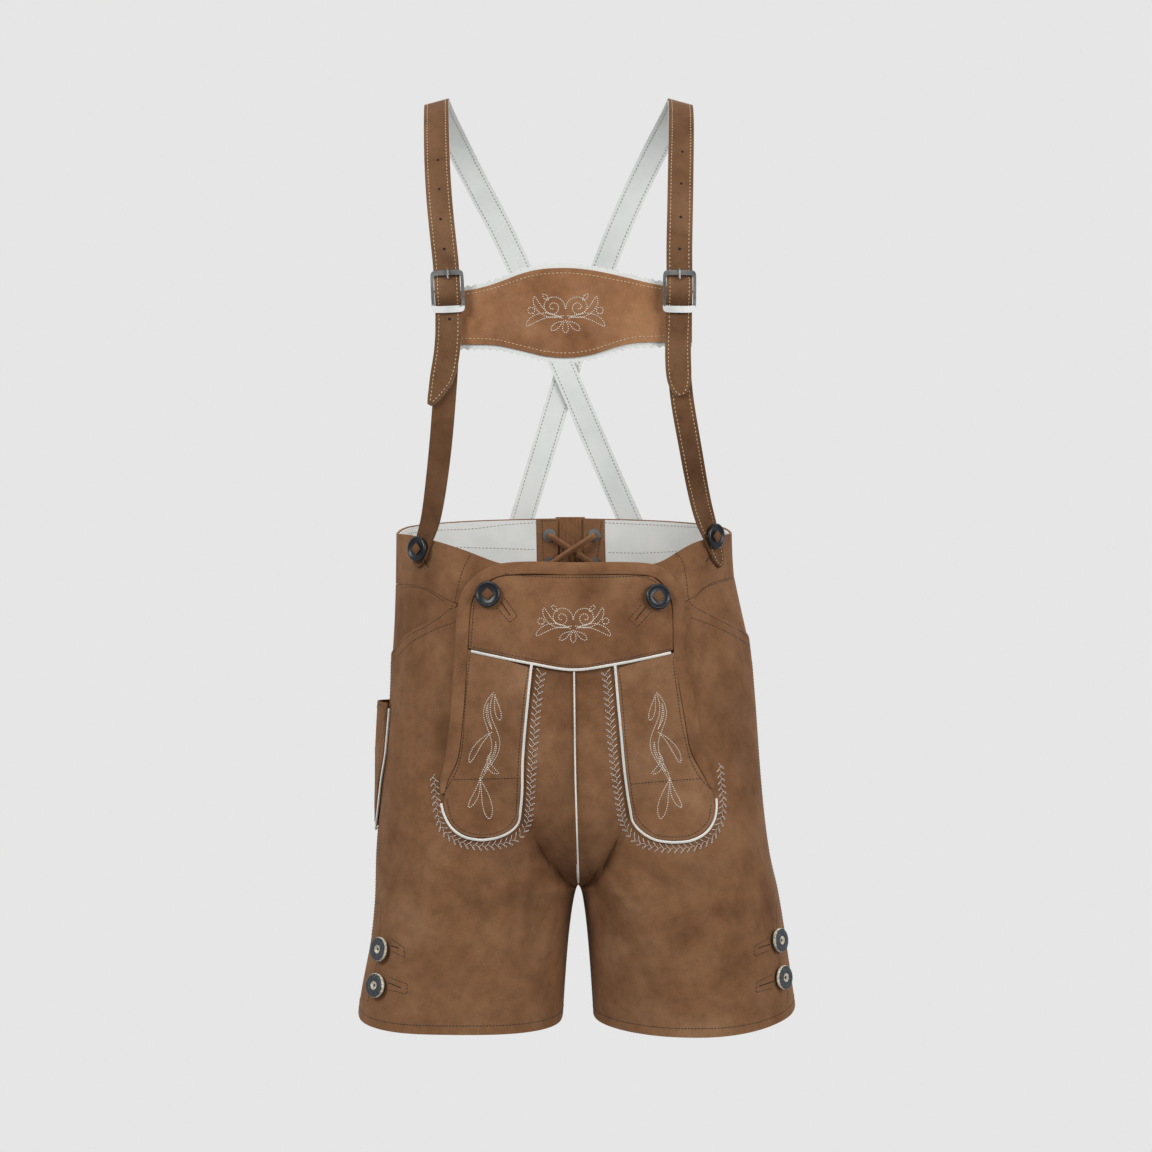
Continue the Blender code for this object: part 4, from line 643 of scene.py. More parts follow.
# Geometry Nodes: a sample piece repeated along paths that know which way they face
def repeatTree():
    tree = bpy.data.node_groups.new("repeat_along_path", "GeometryNodeTree")
    face = tree.interface
    face.new_socket("Geometry", in_out="INPUT", socket_type="NodeSocketGeometry")
    pitch = face.new_socket("Pitch", in_out="INPUT", socket_type="NodeSocketFloat")
    sample = face.new_socket("Sample", in_out="INPUT", socket_type="NodeSocketObject")
    spin = face.new_socket("Unevenness", in_out="INPUT", socket_type="NodeSocketFloat")
    finish = face.new_socket("Material", in_out="INPUT", socket_type="NodeSocketMaterial")
    face.new_socket("Geometry", in_out="OUTPUT", socket_type="NodeSocketGeometry")
    nodes, links = tree.nodes, tree.links
    source = nodes.new("NodeGroupInput")
    toCurve = nodes.new("GeometryNodeMeshToCurve")
    resample = nodes.new("GeometryNodeResampleCurve")
    resample.mode = "LENGTH"
    info = nodes.new("GeometryNodeObjectInfo")
    facing = nodes.new("GeometryNodeInputNamedAttribute")
    facing.data_type = "FLOAT_VECTOR"
    facing.inputs["Name"].default_value = "facing"
    tangent = nodes.new("GeometryNodeInputTangent")
    alongPath = nodes.new("FunctionNodeAlignRotationToVector")
    alongPath.axis = "X"
    outOfCloth = nodes.new("FunctionNodeAlignRotationToVector")
    outOfCloth.axis = "Z"
    outOfCloth.pivot_axis = "X"
    uneven = nodes.new("FunctionNodeRandomValue")
    uneven.data_type = "FLOAT"
    uneven.inputs["Seed"].default_value = 7
    low = nodes.new("ShaderNodeMath")
    low.operation = "SUBTRACT"
    low.inputs[0].default_value = 1.0
    high = nodes.new("ShaderNodeMath")
    high.operation = "ADD"
    high.inputs[0].default_value = 1.0
    onPoints = nodes.new("GeometryNodeInstanceOnPoints")
    realize = nodes.new("GeometryNodeRealizeInstances")
    setMaterial = nodes.new("GeometryNodeSetMaterial")
    out = nodes.new("NodeGroupOutput")
    links.new(source.outputs["Geometry"], toCurve.inputs["Mesh"])
    links.new(toCurve.outputs["Curve"], resample.inputs["Curve"])
    links.new(source.outputs["Pitch"], resample.inputs["Length"])
    links.new(source.outputs["Sample"], info.inputs["Object"])
    links.new(tangent.outputs["Tangent"], alongPath.inputs["Vector"])
    links.new(alongPath.outputs["Rotation"], outOfCloth.inputs["Rotation"])
    links.new(facing.outputs["Attribute"], outOfCloth.inputs["Vector"])
    links.new(source.outputs["Unevenness"], low.inputs[1])
    links.new(source.outputs["Unevenness"], high.inputs[1])
    minimum = [s for s in uneven.inputs if s.name == "Min" and s.type == "VALUE" and s.enabled][0]
    maximum = [s for s in uneven.inputs if s.name == "Max" and s.type == "VALUE" and s.enabled][0]
    links.new(low.outputs["Value"], minimum)
    links.new(high.outputs["Value"], maximum)
    value = [s for s in uneven.outputs if s.type == "VALUE" and s.enabled][0]
    links.new(resample.outputs["Curve"], onPoints.inputs["Points"])
    links.new(info.outputs["Geometry"], onPoints.inputs["Instance"])
    links.new(outOfCloth.outputs["Rotation"], onPoints.inputs["Rotation"])
    links.new(value, onPoints.inputs["Scale"])
    links.new(onPoints.outputs["Instances"], realize.inputs["Geometry"])
    links.new(realize.outputs["Geometry"], setMaterial.inputs["Geometry"])
    links.new(source.outputs["Material"], setMaterial.inputs["Material"])
    links.new(setMaterial.outputs["Geometry"], out.inputs["Geometry"])
    return tree, {"pitch": pitch.identifier, "sample": sample.identifier, "spin": spin.identifier,
                  "finish": finish.identifier}


repeatNodes, repeatSockets = repeatTree()


def repeatAlong(name, paths, sample, pitch, look, uneven=0.06):
    points = []
    facings = []
    edges = []
    for path in paths:
        if len(path) < 2:
            continue
        start = len(points)
        points += [p for p, _ in path]
        facings += [n for _, n in path]
        edges += [(start + i, start + i + 1) for i in range(len(path) - 1)]
    mesh = bpy.data.meshes.new(name)
    mesh.from_pydata(points, edges, [])
    attribute = mesh.attributes.new("facing", "FLOAT_VECTOR", "POINT")
    attribute.data.foreach_set("vector", [c for n in facings for c in n])
    obj = link(bpy.data.objects.new(name, mesh))
    modifier = obj.modifiers.new("Repeat", "NODES")
    modifier.node_group = repeatNodes
    modifier[repeatSockets["pitch"]] = pitch
    modifier[repeatSockets["sample"]] = sample
    modifier[repeatSockets["spin"]] = uneven
    modifier[repeatSockets["finish"]] = looks[look]
    asMesh(obj)
    obj.data.shade_smooth()
    if not obj.data.materials:
        obj.data.materials.append(looks[look])
    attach(obj, "root")
    return obj


samples = []


def stitchSample(length, width, height):
    mesh = bpy.data.meshes.new("stitch")
    shape = bmesh.new()
    bmesh.ops.create_uvsphere(shape, u_segments=6, v_segments=4, radius=1.0,
                              matrix=Matrix.Rotation(math.radians(90), 4, "Y"))
    size = Matrix.Diagonal((length / 2, width / 2, height / 2, 1))
    bmesh.ops.transform(shape, matrix=size, verts=shape.verts)
    shape.to_mesh(mesh)
    shape.free()
    made = link(bpy.data.objects.new("stitch", mesh))
    samples.append(made)
    return made


sewing = {"pitch": 0.0030, "length": 0.0023, "width": 0.00085, "height": 0.0005, "lift": 0.00012,
          "hem": 0.0083}
seamStitch = stitchSample(sewing["length"], sewing["width"], sewing["height"])

# Dark seams that the front shows, in the photograph's frame
darkSeams = {
    "bindingLeft": [(505.8, 574), (490, 582), (475.6, 600), (473, 617), (470.8, 646), (466.8, 686),
                    (464.8, 710),
                    (463.4, 735), (461.6, 752), (456.7, 770.5), (445, 791)],
    "bindingRight": [(636.6, 576), (650, 579), (661, 586), (668, 593), (671.5, 605), (673, 626), (673.4, 660),
                     (677.7, 696), (681, 721), (685.4, 741), (691, 761), (700, 778), (709, 787)],
    "bindingTop": [(505.8, 574), (530, 576.2), (570, 577.4), (610, 577), (636.6, 576)],
    "yokeSeam": [(474, 647.5), (533, 659.5), (574.7, 666), (614, 660.5), (670, 648.8)],
    "edgeLeft": [(469.8, 556), (462.8, 570), (457.9, 587), (455, 602)],
    "edgeRight": [(676.5, 554), (682, 560), (686.3, 578.6), (688.4, 598), (692, 605)],
    "mouthLeft": [(452, 606), (448, 611), (429, 624.5), (408, 636), (397, 647.5), (392, 655)],
    "mouthLeftInner": [(455.8, 622), (436, 629), (415, 640), (404, 649), (398, 656)],
    "mouthRight": [(695, 607), (714, 617.5), (728, 624.5), (742, 632), (748, 638)],
    "mouthRightInner": [(692, 618), (714, 626), (735, 636), (748, 645)],
    "bandLeft": [(402, 587), (415, 587), (429, 591), (442, 600)],
    "bandRight": [(695, 598), (706, 587), (721, 582), (733, 578.5)],
    "pocketLeft": [(528.5, 668), (523.5, 703), (518.6, 759), (516.6, 806), (514, 819), (507, 827.5),
                   (496, 833),
                   (480, 835), (467, 832), (457, 826), (450.5, 816), (447, 800)],
    "pocketRight": [(618.6, 669), (622, 696), (626.7, 752), (633.2, 803), (638, 819), (645, 827), (656, 835),
                    (674, 837), (689, 835.5), (701, 829), (708.5, 819), (711, 806)],
    "pocketBarLeft": [(455, 779.6), (486, 779), (518, 778)],
    "pocketBarRight": [(632, 784), (666, 781), (700, 778.6)],
    "ventLeft": [(376.4, 903), (380.6, 905), (379.7, 930), (377, 961), (369.7, 992), (367.9, 1000.6)],
    "ventRight": [(781, 900), (776.5, 902), (777, 930), (779, 961), (785, 985), (788, 994)],
}

# Worked buttonholes: three corners of the sewn box after its open end, and the slit
buttonholes = {
    "flapLeft": ([(497.5, 608.5), (510, 622.4), (517.5, 616.3), (505, 598.5)],
                 [(501.5, 602.5), (509.5, 614.5)]),
    "flapRight": ([(640, 606), (629, 619), (637.5, 627), (651, 612)], [(645, 608), (636, 619)]),
    "hemLeftUpper": ([(392, 939.5), (404, 947.3), (404.6, 957.5), (393, 951.7)],
                     [(391, 945.8), (398, 947.7)]),
    "hemLeftLower": ([(390, 977.5), (407.3, 984), (406.8, 994), (389, 990)], [(389, 982.8), (400, 987.5)]),
    "hemRightUpper": ([(768, 938), (754.5, 946), (754, 956), (768, 951)], [(769, 944.5), (759, 948)]),
    "hemRightLower": ([(771, 975), (756.5, 982.5), (756, 992.5), (771, 988.5)], [(773, 981.5), (760, 986)]),
}
braceSlits = [[(424.5, 560.5), (428.5, 567)], [(706.5, 561), (711, 555.5)]]


# Lowest point of a leg all round it, and stitches a little above it
def roundLeg(side, rise):
    names = [f"front_panel_{side}", f"back_panel_{side}"]
    tree = leatherTree(names)
    low = np.array([v.co for n in names for v in leather[n].data.vertices if v.co.z < -0.815])
    middle = (low.min(0) + low.max(0)) / 2
    bearing = np.arctan2(low[:, 1] - middle[1], low[:, 0] - middle[0])
    path = []
    for degrees in range(0, 364, 3):
        angle = math.radians(degrees)
        near = np.abs(np.angle(np.exp(1j * (bearing - angle)))) < 0.07
        if not near.any():
            continue
        way = Vector((math.cos(angle), math.sin(angle), 0))
        start = Vector((middle[0], middle[1], float(low[near][:, 2].min()) + rise)) + way * 0.25
        found = cast(start, -way, sewing["lift"], tree)
        if found and (found[0] - start).length < 0.24:
            path.append(found)
    return path


# Rows seen square on from behind or from a side: across and height in metres
def behind(rows, tree, lift=sewing["lift"]):
    found = [cast((x, 0.5, z), (0, -1, 0), lift, tree) for x, z in rows]
    return [f for f in found if f]


def fromSide(sign, rows, tree, lift=sewing["lift"]):
    found = [cast((sign * 0.5, y, z), (-sign, 0, 0), lift, tree) for y, z in rows]
    return [f for f in found if f]


def upright(x, high, low, count=30):
    return [(x, high + (low - high) * i / count) for i in range(count + 1)]


def level(z, first, last, sag=0.0, count=40):
    rows = []
    for i in range(count + 1):
        share = i / count
        rows.append((first + (last - first) * share, z + sag * math.sin(math.pi * share)))
    return rows


backTree = leatherTree([n for n in leather if n.startswith(("back_panel", "back_waistband", "back_gusset"))])
sideTree = leatherTree([n for n in leather if n.startswith(("back_panel", "front_panel"))])
seat = {"seam": 0.0055, "beside": 0.0035, "bandSeam": -0.4475, "slitFoot": -0.503, "fork": -0.715,
        "bandSpans": [(-0.150, -0.012), (0.022, 0.145)]}
sideSeams = {"rows": (0.0025, 0.0095), "top": -0.520, "feet": ((-1, -0.772), (1, -0.768))}

darkPaths = [onPhoto(line, sewing["lift"]) for line in darkSeams.values()]
for box, slit in buttonholes.values():
    darkPaths.append(onPhoto(box, sewing["lift"], straight=True))
for side in bothSides:
    darkPaths.append(roundLeg(side, sewing["hem"]))
for offset in (-seat["beside"], seat["beside"]):
    darkPaths.append(behind(upright(seat["seam"] + offset, seat["slitFoot"], seat["fork"]), backTree))
for first, last in seat["bandSpans"]:
    darkPaths.append(behind(level(seat["bandSeam"], first, last), backTree))
for sign, foot in sideSeams["feet"]:
    for y in sideSeams["rows"]:
        darkPaths.append(fromSide(sign, upright(y, sideSeams["top"], foot), sideTree))
knifeTree = leatherTree(["knife_pocket"])
knifeSpots = np.array([v.co for v in leather["knife_pocket"].data.vertices])
knifeLow, knifeHigh = knifeSpots.min(0), knifeSpots.max(0)
knifeMiddle = (knifeLow + knifeHigh) / 2
knifeHem = {"inset": 0.006, "corners": [(1, 1), (1, 0.1), (0.86, -0.55), (0.4, -0.96), (0, -1), (-0.4, -0.96),
                                       (-0.86, -0.55), (-1, 0.1), (-1, 1), (0, 0.99), (1, 1)]}
knifeReach = (knifeHigh - knifeLow) / 2 - knifeHem["inset"]
knifeLine = smoothLine([(knifeMiddle[1] + a * knifeReach[1], knifeMiddle[2] + b * knifeReach[2], 0)
                        for a, b in knifeHem["corners"]], 0.003)
darkPaths.append(fromSide(-1, [(p.x, p.y) for p in knifeLine], knifeTree))
facingTree = leatherTree(["eyelet_facing_left", "eyelet_facing_right"])
facingSeams = [[(542, 521), (542.6, 540), (543.6, 562)], [(559.5, 521), (558.6, 540), (557.6, 562)],
               [(542, 521), (559.5, 520.4)], [(601.5, 519), (600, 540), (596.5, 562)]]
darkPaths += [onPhoto(line, sewing["lift"], tree=facingTree) for line in facingSeams]
repeatAlong("dark_seam_stitches", darkPaths, seamStitch, sewing["pitch"], "darkThread")
# Painted shade of the buttonhole and brace slits: dark beads along each cut
slitShade = {"length": 0.0026, "width": 0.0009, "height": 0.0004, "pitch": 0.0011, "lift": 0.0001,
              "step": 1.5}
slitShadeBead = stitchSample(slitShade["length"], slitShade["width"], slitShade["height"])
slitPaths = [onPhoto(slit, slitShade["lift"], step=slitShade["step"], straight=True)
             for slit in [slit for box, slit in buttonholes.values()] + braceSlits]
repeatAlong("buttonhole_slits", slitPaths, slitShadeBead, slitShade["pitch"], "holeShade", 0.0)
liningTree = leatherTree(["waist_lining_left", "waist_lining_right"])
liningSeams = [[(402, 537), (414, 532.5), (440, 530), (472, 528.8), (508, 524.5), (536, 522.8)],
               [(606, 522.8), (655, 525), (697, 527.5), (724, 529.5)],
               [(437, 546.5), (470, 547.5), (537, 549.6)], [(601, 552.3), (640, 553), (676, 551.5)]]
liningPaths = [onPhoto(line, sewing["lift"], tree=liningTree) for line in liningSeams]
print("dark seams sewn")


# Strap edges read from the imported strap, from its back end to its front end: two lines on each face
def strapEdges(name):
    shape = bmesh.new()
    shape.from_mesh(quadCopy(name, 60))
    steep = math.radians(55)
    caps = [f for f in shape.faces if len(f.verts) == 4
            and all(e.calc_face_angle(0.0) > steep for e in f.edges)]
    start = max(caps, key=lambda f: f.calc_center_median().y)
    lines = [[v] for v in start.verts]
    passed = set(start.verts)
    while True:
        ahead = []
        for line in lines:
            onward = [e.other_vert(line[-1]) for e in line[-1].link_edges]
            onward = [v for v in onward if v not in passed]
            if onward:
                ahead.append(min(onward, key=lambda v: (v.co - line[-1].co).length))
        if len(set(ahead)) < 4:
            break
        for line, vertex in zip(lines, ahead):
            line.append(vertex)
        passed.update(ahead)
    lines = [[v.co.copy() for v in line] for line in lines]
    shape.free()
    if (lines[0][0] - lines[1][0]).length > (lines[1][0] - lines[2][0]).length:
        return (lines[0], lines[1]), (lines[3], lines[2])
    return (lines[1], lines[2]), (lines[0], lines[3])


strapSewing = {"inset": 0.0030, "pitch": 0.0036, "steps": 6, "start": 0.006, "within": 0.012,
               "lift": 0.00015}


# Stitch lines inside both edges of a strap's face that looks away from a partner or from the wearer
def strapStitches(name, partner, inset):
    tree = leatherTree([name])
    away = leatherTree([partner]) if partner else None
    first, second = strapEdges(name)

    def reach(face):
        total = 0.0
        for a, b in zip(*face):
            spot = (a + b) / 2
            total += away.find_nearest(spot)[3] if away else math.hypot(spot.x, spot.y)
        return total

    def finer(line):
        steps = range(strapSewing["steps"])
        return [a.lerp(b, i / len(steps)) for a, b in zip(line, line[1:]) for i in steps] + [line[-1]]

    face, other = (first, second) if reach(first) > reach(second) else (second, first)
    paths = []
    for near, far, under in ((face[0], face[1], other[0]), (face[1], face[0], other[1])):
        path = []
        for a, b, c in zip(finer(near), finer(far), finer(under)):
            outward = (a - c).normalized()
            width = (b - a).length
            if width < 3 * inset:
                continue
            start = a + (b - a).normalized() * inset + outward * strapSewing["start"]
            spot = tree.ray_cast(start, -outward, strapSewing["within"])[0]
            if spot:
                path.append((spot + outward * strapSewing["lift"], outward))
        paths.append(path)
    return paths


creamPaths = []
for side in bothSides:
    creamPaths += strapStitches(f"strap_upper_{side}", f"strap_lining_{side}", strapSewing["inset"])
    creamPaths += strapStitches(f"strap_lower_{side}", None, strapSewing["inset"])
    liningPaths += strapStitches(f"strap_lining_{side}", f"strap_upper_{side}", strapSewing["inset"])
chestTree = leatherTree(["chest_piece"])
chestSeams = [[(464, 294.2), (481.5, 291.5), (498, 287), (514.6, 281), (531, 276), (548, 273.6), (566, 273),
               (589, 275), (606, 278), (631, 283), (647, 286.5), (664, 289)],
              [(462, 338.6), (481.5, 338.6), (498, 340), (514.6, 344), (531, 348), (543, 351), (566, 353),
               (586, 351), (602.5, 346.5), (619, 341), (636, 337), (664, 336)]]
creamPaths += [onPhoto(line, sewing["lift"], tree=chestTree) for line in chestSeams]
pipingEnd = {"length": 0.0040, "width": 0.0023, "height": 0.0014, "pitch": 0.0012, "lift": 0.0012,
             "line": [(577.8, 864), (578.0, 876), (578.0, 886)]}
pipingBead = stitchSample(pipingEnd["length"], pipingEnd["width"], pipingEnd["height"])
repeatAlong("centre_piping_end", [onPhoto(pipingEnd["line"], pipingEnd["lift"])], pipingBead,
            pipingEnd["pitch"], "pipingLeather", 0.0)
repeatAlong("cream_strap_stitches", creamPaths, seamStitch, strapSewing["pitch"], "creamThread")
repeatAlong("lining_stitches", liningPaths, seamStitch, strapSewing["pitch"], "greyThread")
print("straps, chest piece and lining sewn")


# Painted shade of the braces' punched holes: dark flattened discs laid on the straps
braceHoles = {"spots": [(437.9, 160), (439.2, 189), (440.6, 219), (444.3, 249), (449.6, 319), (682.4, 151.6),
                        (681.2, 183.5), (680.8, 217), (679.6, 249), (679, 313)],
              "radius": 0.0013, "depth": 0.15, "lift": 0.00008}
eyeletShadow = {"share": 0.55, "depth": 0.25}


# Dark sheets in the painted hole shade, laid where openings show only shade
def addDark(name, shape):
    mesh = bpy.data.meshes.new(name)
    shape.to_mesh(mesh)
    shape.free()
    mesh.materials.append(looks["holeShade"])
    spots = link(bpy.data.objects.new(name, mesh))
    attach(spots, "root")


def shadeBraceHoles():
    tree = leatherTree(["strap_upper_left", "strap_upper_right"])
    shape = bmesh.new()
    for across, down in braceHoles["spots"]:
        found = seen(across, down, tree, braceHoles["lift"])
        if found:
            turn = found[1].to_track_quat("Z", "Y").to_matrix().to_4x4()
            flat = Matrix.Diagonal((1, 1, braceHoles["depth"], 1))
            bmesh.ops.create_uvsphere(shape, u_segments=14, v_segments=6, radius=braceHoles["radius"],
                                      matrix=Matrix.Translation(found[0]) @ turn @ flat)
    addDark("brace_holes", shape)


# Painted shade in the eyelets' bores, which the lace fills only in part
def shadeEyeletBores():
    shape = bmesh.new()
    for eyelet in eyelets:
        spots = np.array([v.co for v in eyelet.data.vertices])
        centre = (spots.min(0) + spots.max(0)) / 2
        reach = float(spots[:, 0].max() - spots[:, 0].min()) / 2
        place = Matrix.Translation(centre) @ Matrix.Diagonal((1, eyeletShadow["depth"], 1, 1))
        bmesh.ops.create_uvsphere(shape, u_segments=18, v_segments=8, radius=reach * eyeletShadow["share"],
                                  matrix=place)
    addDark("eyelet_shadows", shape)


shadeBraceHoles()
shadeEyeletBores()


# Outline of a curved leaf in millimetres: base, heading and bend in degrees, and how near its
# tip it is widest
def leaf(x, y, heading, length, width, bend=0.0, belly=1.3, count=26):
    left = []
    right = []
    for i in range(count + 1):
        share = i / count
        angle = math.radians(heading + bend * (share - 0.5))
        half = width / 2 * math.sin(math.pi * share ** belly) ** 0.6
        left.append((x - half * math.sin(angle), y + half * math.cos(angle)))
        right.append((x + half * math.sin(angle), y - half * math.cos(angle)))
        x += length / count * math.cos(angle)
        y += length / count * math.sin(angle)
    return left + right[::-1]


def spiral(x, y, start, turns, inner, outer, hand, count=60):
    path = []
    for i in range(count + 1):
        share = i / count
        angle = math.radians(start) + hand * 2 * math.pi * turns * share
        reach = outer + (inner - outer) * share ** 0.85
        path.append((x + reach * math.cos(angle), y + reach * math.sin(angle)))
    return path


# Swaying stem that leans a little and tapers at both ends, in millimetres
stemSway = {"start": 2.3, "lean": 0.1, "swing": 5.5, "wave": 68, "phase": 0.83}


def vineStem(top, bottom, width, count=44):
    left = []
    right = []
    for i in range(count + 1):
        share = i / count
        y = top + (bottom - top) * share
        sway = math.sin(2 * math.pi * y / stemSway["wave"] + stemSway["phase"])
        middle = stemSway["start"] + stemSway["lean"] * y + stemSway["swing"] * sway
        half = width / 2 * math.sin(math.pi * share ** 0.9) ** 0.7
        left.append((middle - half, y))
        right.append((middle + half, y))
    return left + right[::-1]


def mirrored(paths):
    return paths + [[(-x, y) for x, y in path] for path in paths]


# Scrolls with horns, side leaves and drop leaves, for the flap and the chest piece
scrollMotif = mirrored([
    spiral(10.6, 4.8, 185, 1.75, 1.5, 10.4, -1),
    leaf(2.0, -2.4, 36, 33, 5.0, 100, 1.9),
    leaf(14.5, 11.0, 48, 6.5, 3.2, 0, 1.2),
    leaf(3.0, -4.4, -14, 33, 5.6, -76, 1.8),
    spiral(28.8, 2.0, 230, 0.95, 2.6, 3.0, -1, 16),
    leaf(2.0, -7.0, -38, 12.5, 4.8, -10, 1.5),
]) + [leaf(0, -6.4, -90, 10.5, 5.0, 0, 1.4)]

# Long vine for the pockets: stem, curls and leaves
vineMotif = [
    vineStem(56, -22, 7.6),
    vineStem(46, 24, 1.6),
    vineStem(12, -14, 1.6),
    leaf(8.0, 54, -78, 23, 5.0, 12, 1.8),
    leaf(5.0, 21, -125, 34, 5.2, 40, 1.7),
    leaf(4.5, 3, -68, 23, 4.4, 112, 1.7),
    leaf(-5.5, -20, -77, 37, 8.2, -14, 1.8),
    leaf(-5.5, -20, -112, 28, 5.2, -34, 1.7),
]
sprigMotif = [leaf(0, 8, 96, 14, 4.0, 12), leaf(0, 6, 150, 8, 2.6, -20), leaf(0, 6, 40, 8, 2.6, 20),
              leaf(0, 4, -90, 20, 3.6, 10, 1.2)]
embroidery = {"perMillimetre": 1.127, "pitch": 0.0019, "lift": 0.00018, "sprigWide": 0.0012,
              "sprigTall": 0.0014}


def onCloth(motif, across, down, tree, turn=0.0, flip=1, wide=1.0, tall=1.0):
    paths = []
    cosine, sine = math.cos(math.radians(turn)), math.sin(math.radians(turn))
    for outline in motif:
        spots = []
        for x, y in outline:
            x, y = x * flip * wide, y * tall
            spots.append((across + (x * cosine - y * sine) * embroidery["perMillimetre"],
                          down - (x * sine + y * cosine) * embroidery["perMillimetre"]))
        found = [seen(a, b, tree, embroidery["lift"]) for a, b in spots]
        paths.append([f for f in found if f])
    return paths


flapTree = leatherTree(["flap_yoke"])
pocketTree = leatherTree(["flap_pocket_left", "flap_pocket_right"])
dotPaths = onCloth(scrollMotif, 573.3, 623.5, flapTree)
dotPaths += onCloth(scrollMotif, 565.5, 313.0, chestTree, 0, 1, 1.06, 1.05)
dotPaths += onCloth(vineMotif, 486, 756, pocketTree, 0, 1)
dotPaths += onCloth(vineMotif, 664, 756, pocketTree, 0, -1)
for outline in sprigMotif:
    rows = [(knifeMiddle[1] - x * embroidery["sprigWide"], knifeMiddle[2] + y * embroidery["sprigTall"])
            for x, y in outline]
    dotPaths.append(fromSide(-1, rows, knifeTree, embroidery["lift"]))
dot = stitchSample(0.00135, 0.00105, 0.0006)
repeatAlong("white_embroidery", dotPaths, dot, embroidery["pitch"], "whiteThread")
print("embroidery sewn")

# Feather stitch beside the pocket piping: one sprout, then its paths
sprout = {"pitch": 0.0056, "reach": 0.0042, "thread": 0.00054, "rise": 0.0009, "lift": 0.0005}
vineLines = {
    "left": [(541.5, 669), (537, 703), (532.5, 759), (530, 806), (526.5, 825), (516, 837.5), (500, 844),
             (480, 846), (462, 842.5), (447, 833.5), (439.5, 819), (436.5, 800), (435, 783)],
    "right": [(605.5, 669), (608.5, 696), (613, 752), (619.5, 804), (624.5, 824), (635, 838.5), (651.5, 846),
              (674, 848.5), (693, 846.5), (709.5, 838.5), (719, 824), (722.3, 806), (721.5, 790), (720, 772)],
}


def sproutSample(hand):
    step = sprout["pitch"]
    far = sprout["reach"]
    fork = Vector((0.45 * step, -0.30 * far * hand, 0))
    turn = Vector((1.0 * step, 0.24 * far * hand, 0))
    threads = [
        (Vector((0, -far * hand, 0)), fork, 1.7), (fork, turn, 1.0),
        (turn, Vector((1.45 * step, -0.30 * far * hand, 0)), 1.0),
        (turn, Vector((0.78 * step, 0.86 * far * hand, 0)), 1.0),
        (turn, Vector((0.62 * step, 0.62 * far * hand, 0)), 1.0),
        (Vector((0.78 * step, 0.86 * far * hand, 0)), Vector((0.50 * step, far * hand, 0)), 1.0),
        (Vector((0.62 * step, 0.62 * far * hand, 0)), Vector((0.50 * step, far * hand, 0)), 1.0),
    ]
    shape = bmesh.new()
    for start, end, fat in threads:
        run = end - start
        place = Matrix.Translation((start + end) / 2) @ run.to_track_quat("X", "Z").to_matrix().to_4x4()
        thick = sprout["thread"] * fat / 2
        place = place @ Matrix.Diagonal((run.length * 0.56, thick, sprout["rise"] / 2, 1))
        ball = Matrix.Rotation(math.radians(90), 4, "Y")
        bmesh.ops.create_uvsphere(shape, u_segments=6, v_segments=5, radius=1.0, matrix=place @ ball)
    mesh = bpy.data.meshes.new("sprout")
    shape.to_mesh(mesh)
    shape.free()
    made = link(bpy.data.objects.new("sprout", mesh))
    samples.append(made)
    return made


bodyTree = leatherTree(["front_panel_left", "front_panel_right"])
for side, hand in (("left", 1), ("right", -1)):
    path = onPhoto(vineLines[side], sprout["lift"], tree=bodyTree)
    repeatAlong(f"vine_{side}", [path], sproutSample(hand), sprout["pitch"], "vineThread", 0.05)
print("vines sewn")

# Floor and backdrop
stage = {"floor": -1.30, "front": 1.0, "wall": 6.0, "height": 7.0, "reach": 7.0, "bend": 1.5,
         "glow": 0.50}
# Lamps: place, what they point at, size and power
lamps = {
    "key": ((-1.9, -2.1, 1.1), (0, 0, -0.45), 1.1, 52), "fill": ((2.0, -2.0, 0.3), (0, 0, -0.5), 1.5, 42),
    "top": ((0.0, 0.3, 1.5), (0, 0, -0.4), 1.4, 14), "rim": ((0.2, 1.2, 0.4), (0, 0, -0.4), 1.2, 6),
}


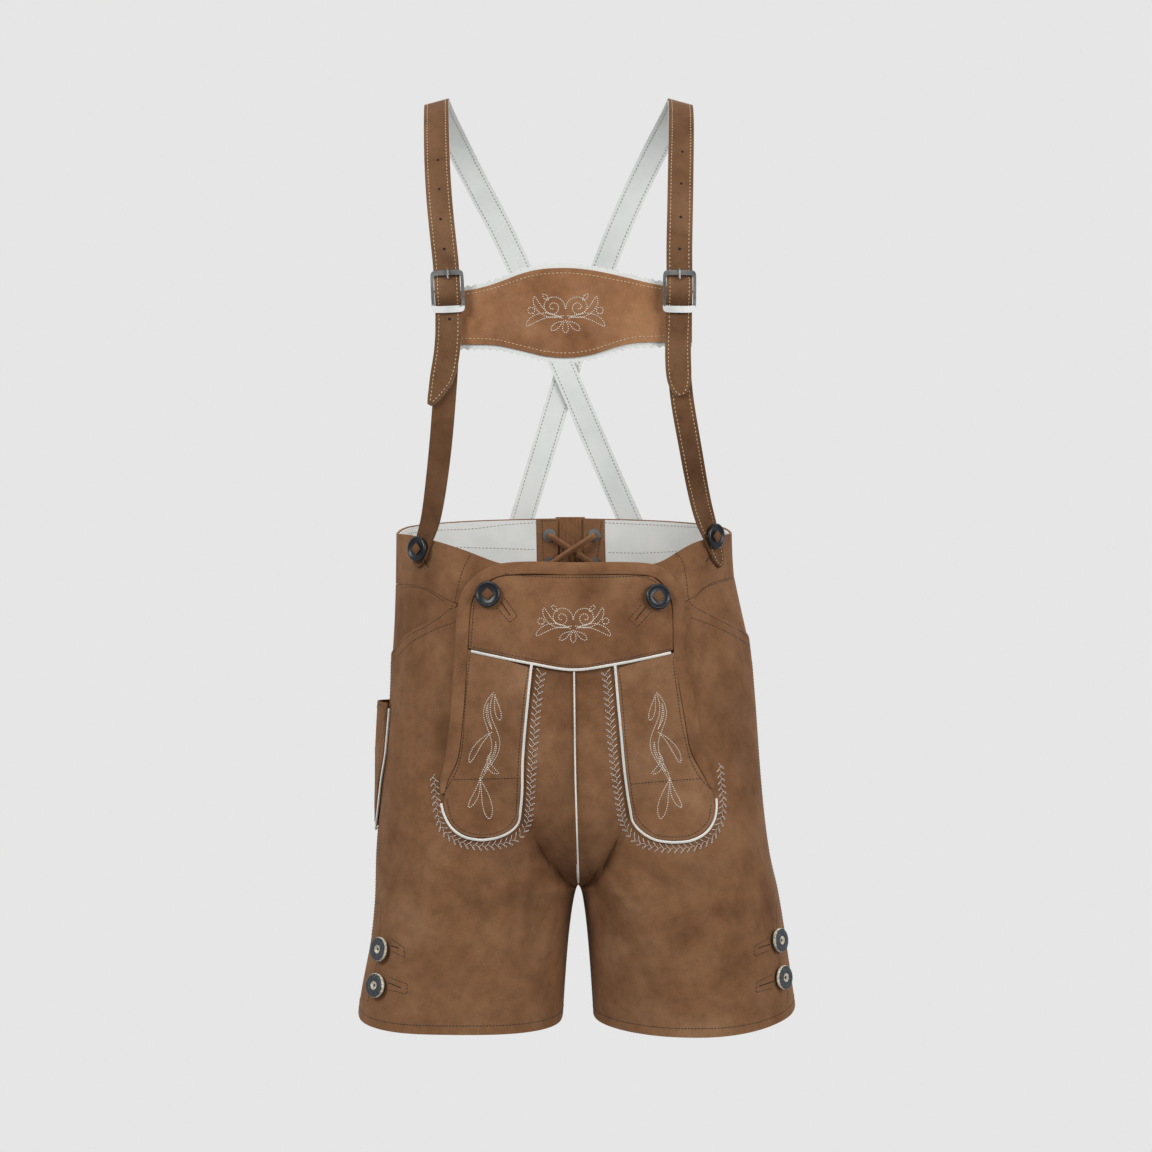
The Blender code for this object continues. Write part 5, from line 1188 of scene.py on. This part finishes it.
def buildStage():
    made, nodes, links = newMaterial("backdrop")
    shader = nodes["Principled BSDF"]
    shade = linear("backdrop")
    shader.inputs["Base Color"].default_value = (0.0, 0.0, 0.0, 1)
    shader.inputs["Roughness"].default_value = 1.0
    shader.inputs["Specular IOR Level"].default_value = 0.0
    shader.inputs["Emission Color"].default_value = shade
    shader.inputs["Emission Strength"].default_value = 1.0
    profile = [(stage["front"], stage["floor"])]
    for i in range(9):
        angle = math.radians(90 * i / 8)
        profile.append((stage["wall"] - stage["bend"] + stage["bend"] * math.sin(angle),
                        stage["floor"] + stage["bend"] - stage["bend"] * math.cos(angle)))
    profile.append((stage["wall"], stage["height"]))
    points = [(x, y, z) for x in (-stage["reach"], stage["reach"]) for y, z in profile]
    count = len(profile)
    faces = [(i, count + i, count + i + 1, i + 1) for i in range(count - 1)]
    mesh = bpy.data.meshes.new("floor_and_backdrop")
    mesh.from_pydata(points, [], faces)
    mesh.materials.append(made)
    floor = link(bpy.data.objects.new("floor_and_backdrop", mesh))


def addLight(name, place, target, size, power):
    lamp = bpy.data.lights.new(name, "AREA")
    lamp.size = size
    lamp.energy = power
    obj = link(bpy.data.objects.new(name, lamp))
    obj.location = place
    obj.rotation_euler = (Vector(target) - Vector(place)).to_track_quat("-Z", "Y").to_euler()


def buildView():
    world = bpy.data.worlds.new("studio")
    world.use_nodes = True
    world.node_tree.nodes["Background"].inputs["Color"].default_value = linear("backdrop")
    world.node_tree.nodes["Background"].inputs["Strength"].default_value = stage["glow"]
    bpy.context.scene.world = world
    for name, row in lamps.items():
        addLight(name, *row)
    lens = bpy.data.cameras.new("camera")
    lens.lens = view["lens"]
    lens.sensor_width = view["sensor"]
    camera = link(bpy.data.objects.new("camera", lens))
    camera.location = view["eye"]
    camera.rotation_euler = (math.radians(90), 0, 0)
    bpy.context.scene.camera = camera
    bpy.context.scene.view_settings.view_transform = "Standard"


buildStage()
buildView()
for sample in samples:
    bpy.data.objects.remove(sample)
print("stage and camera set")
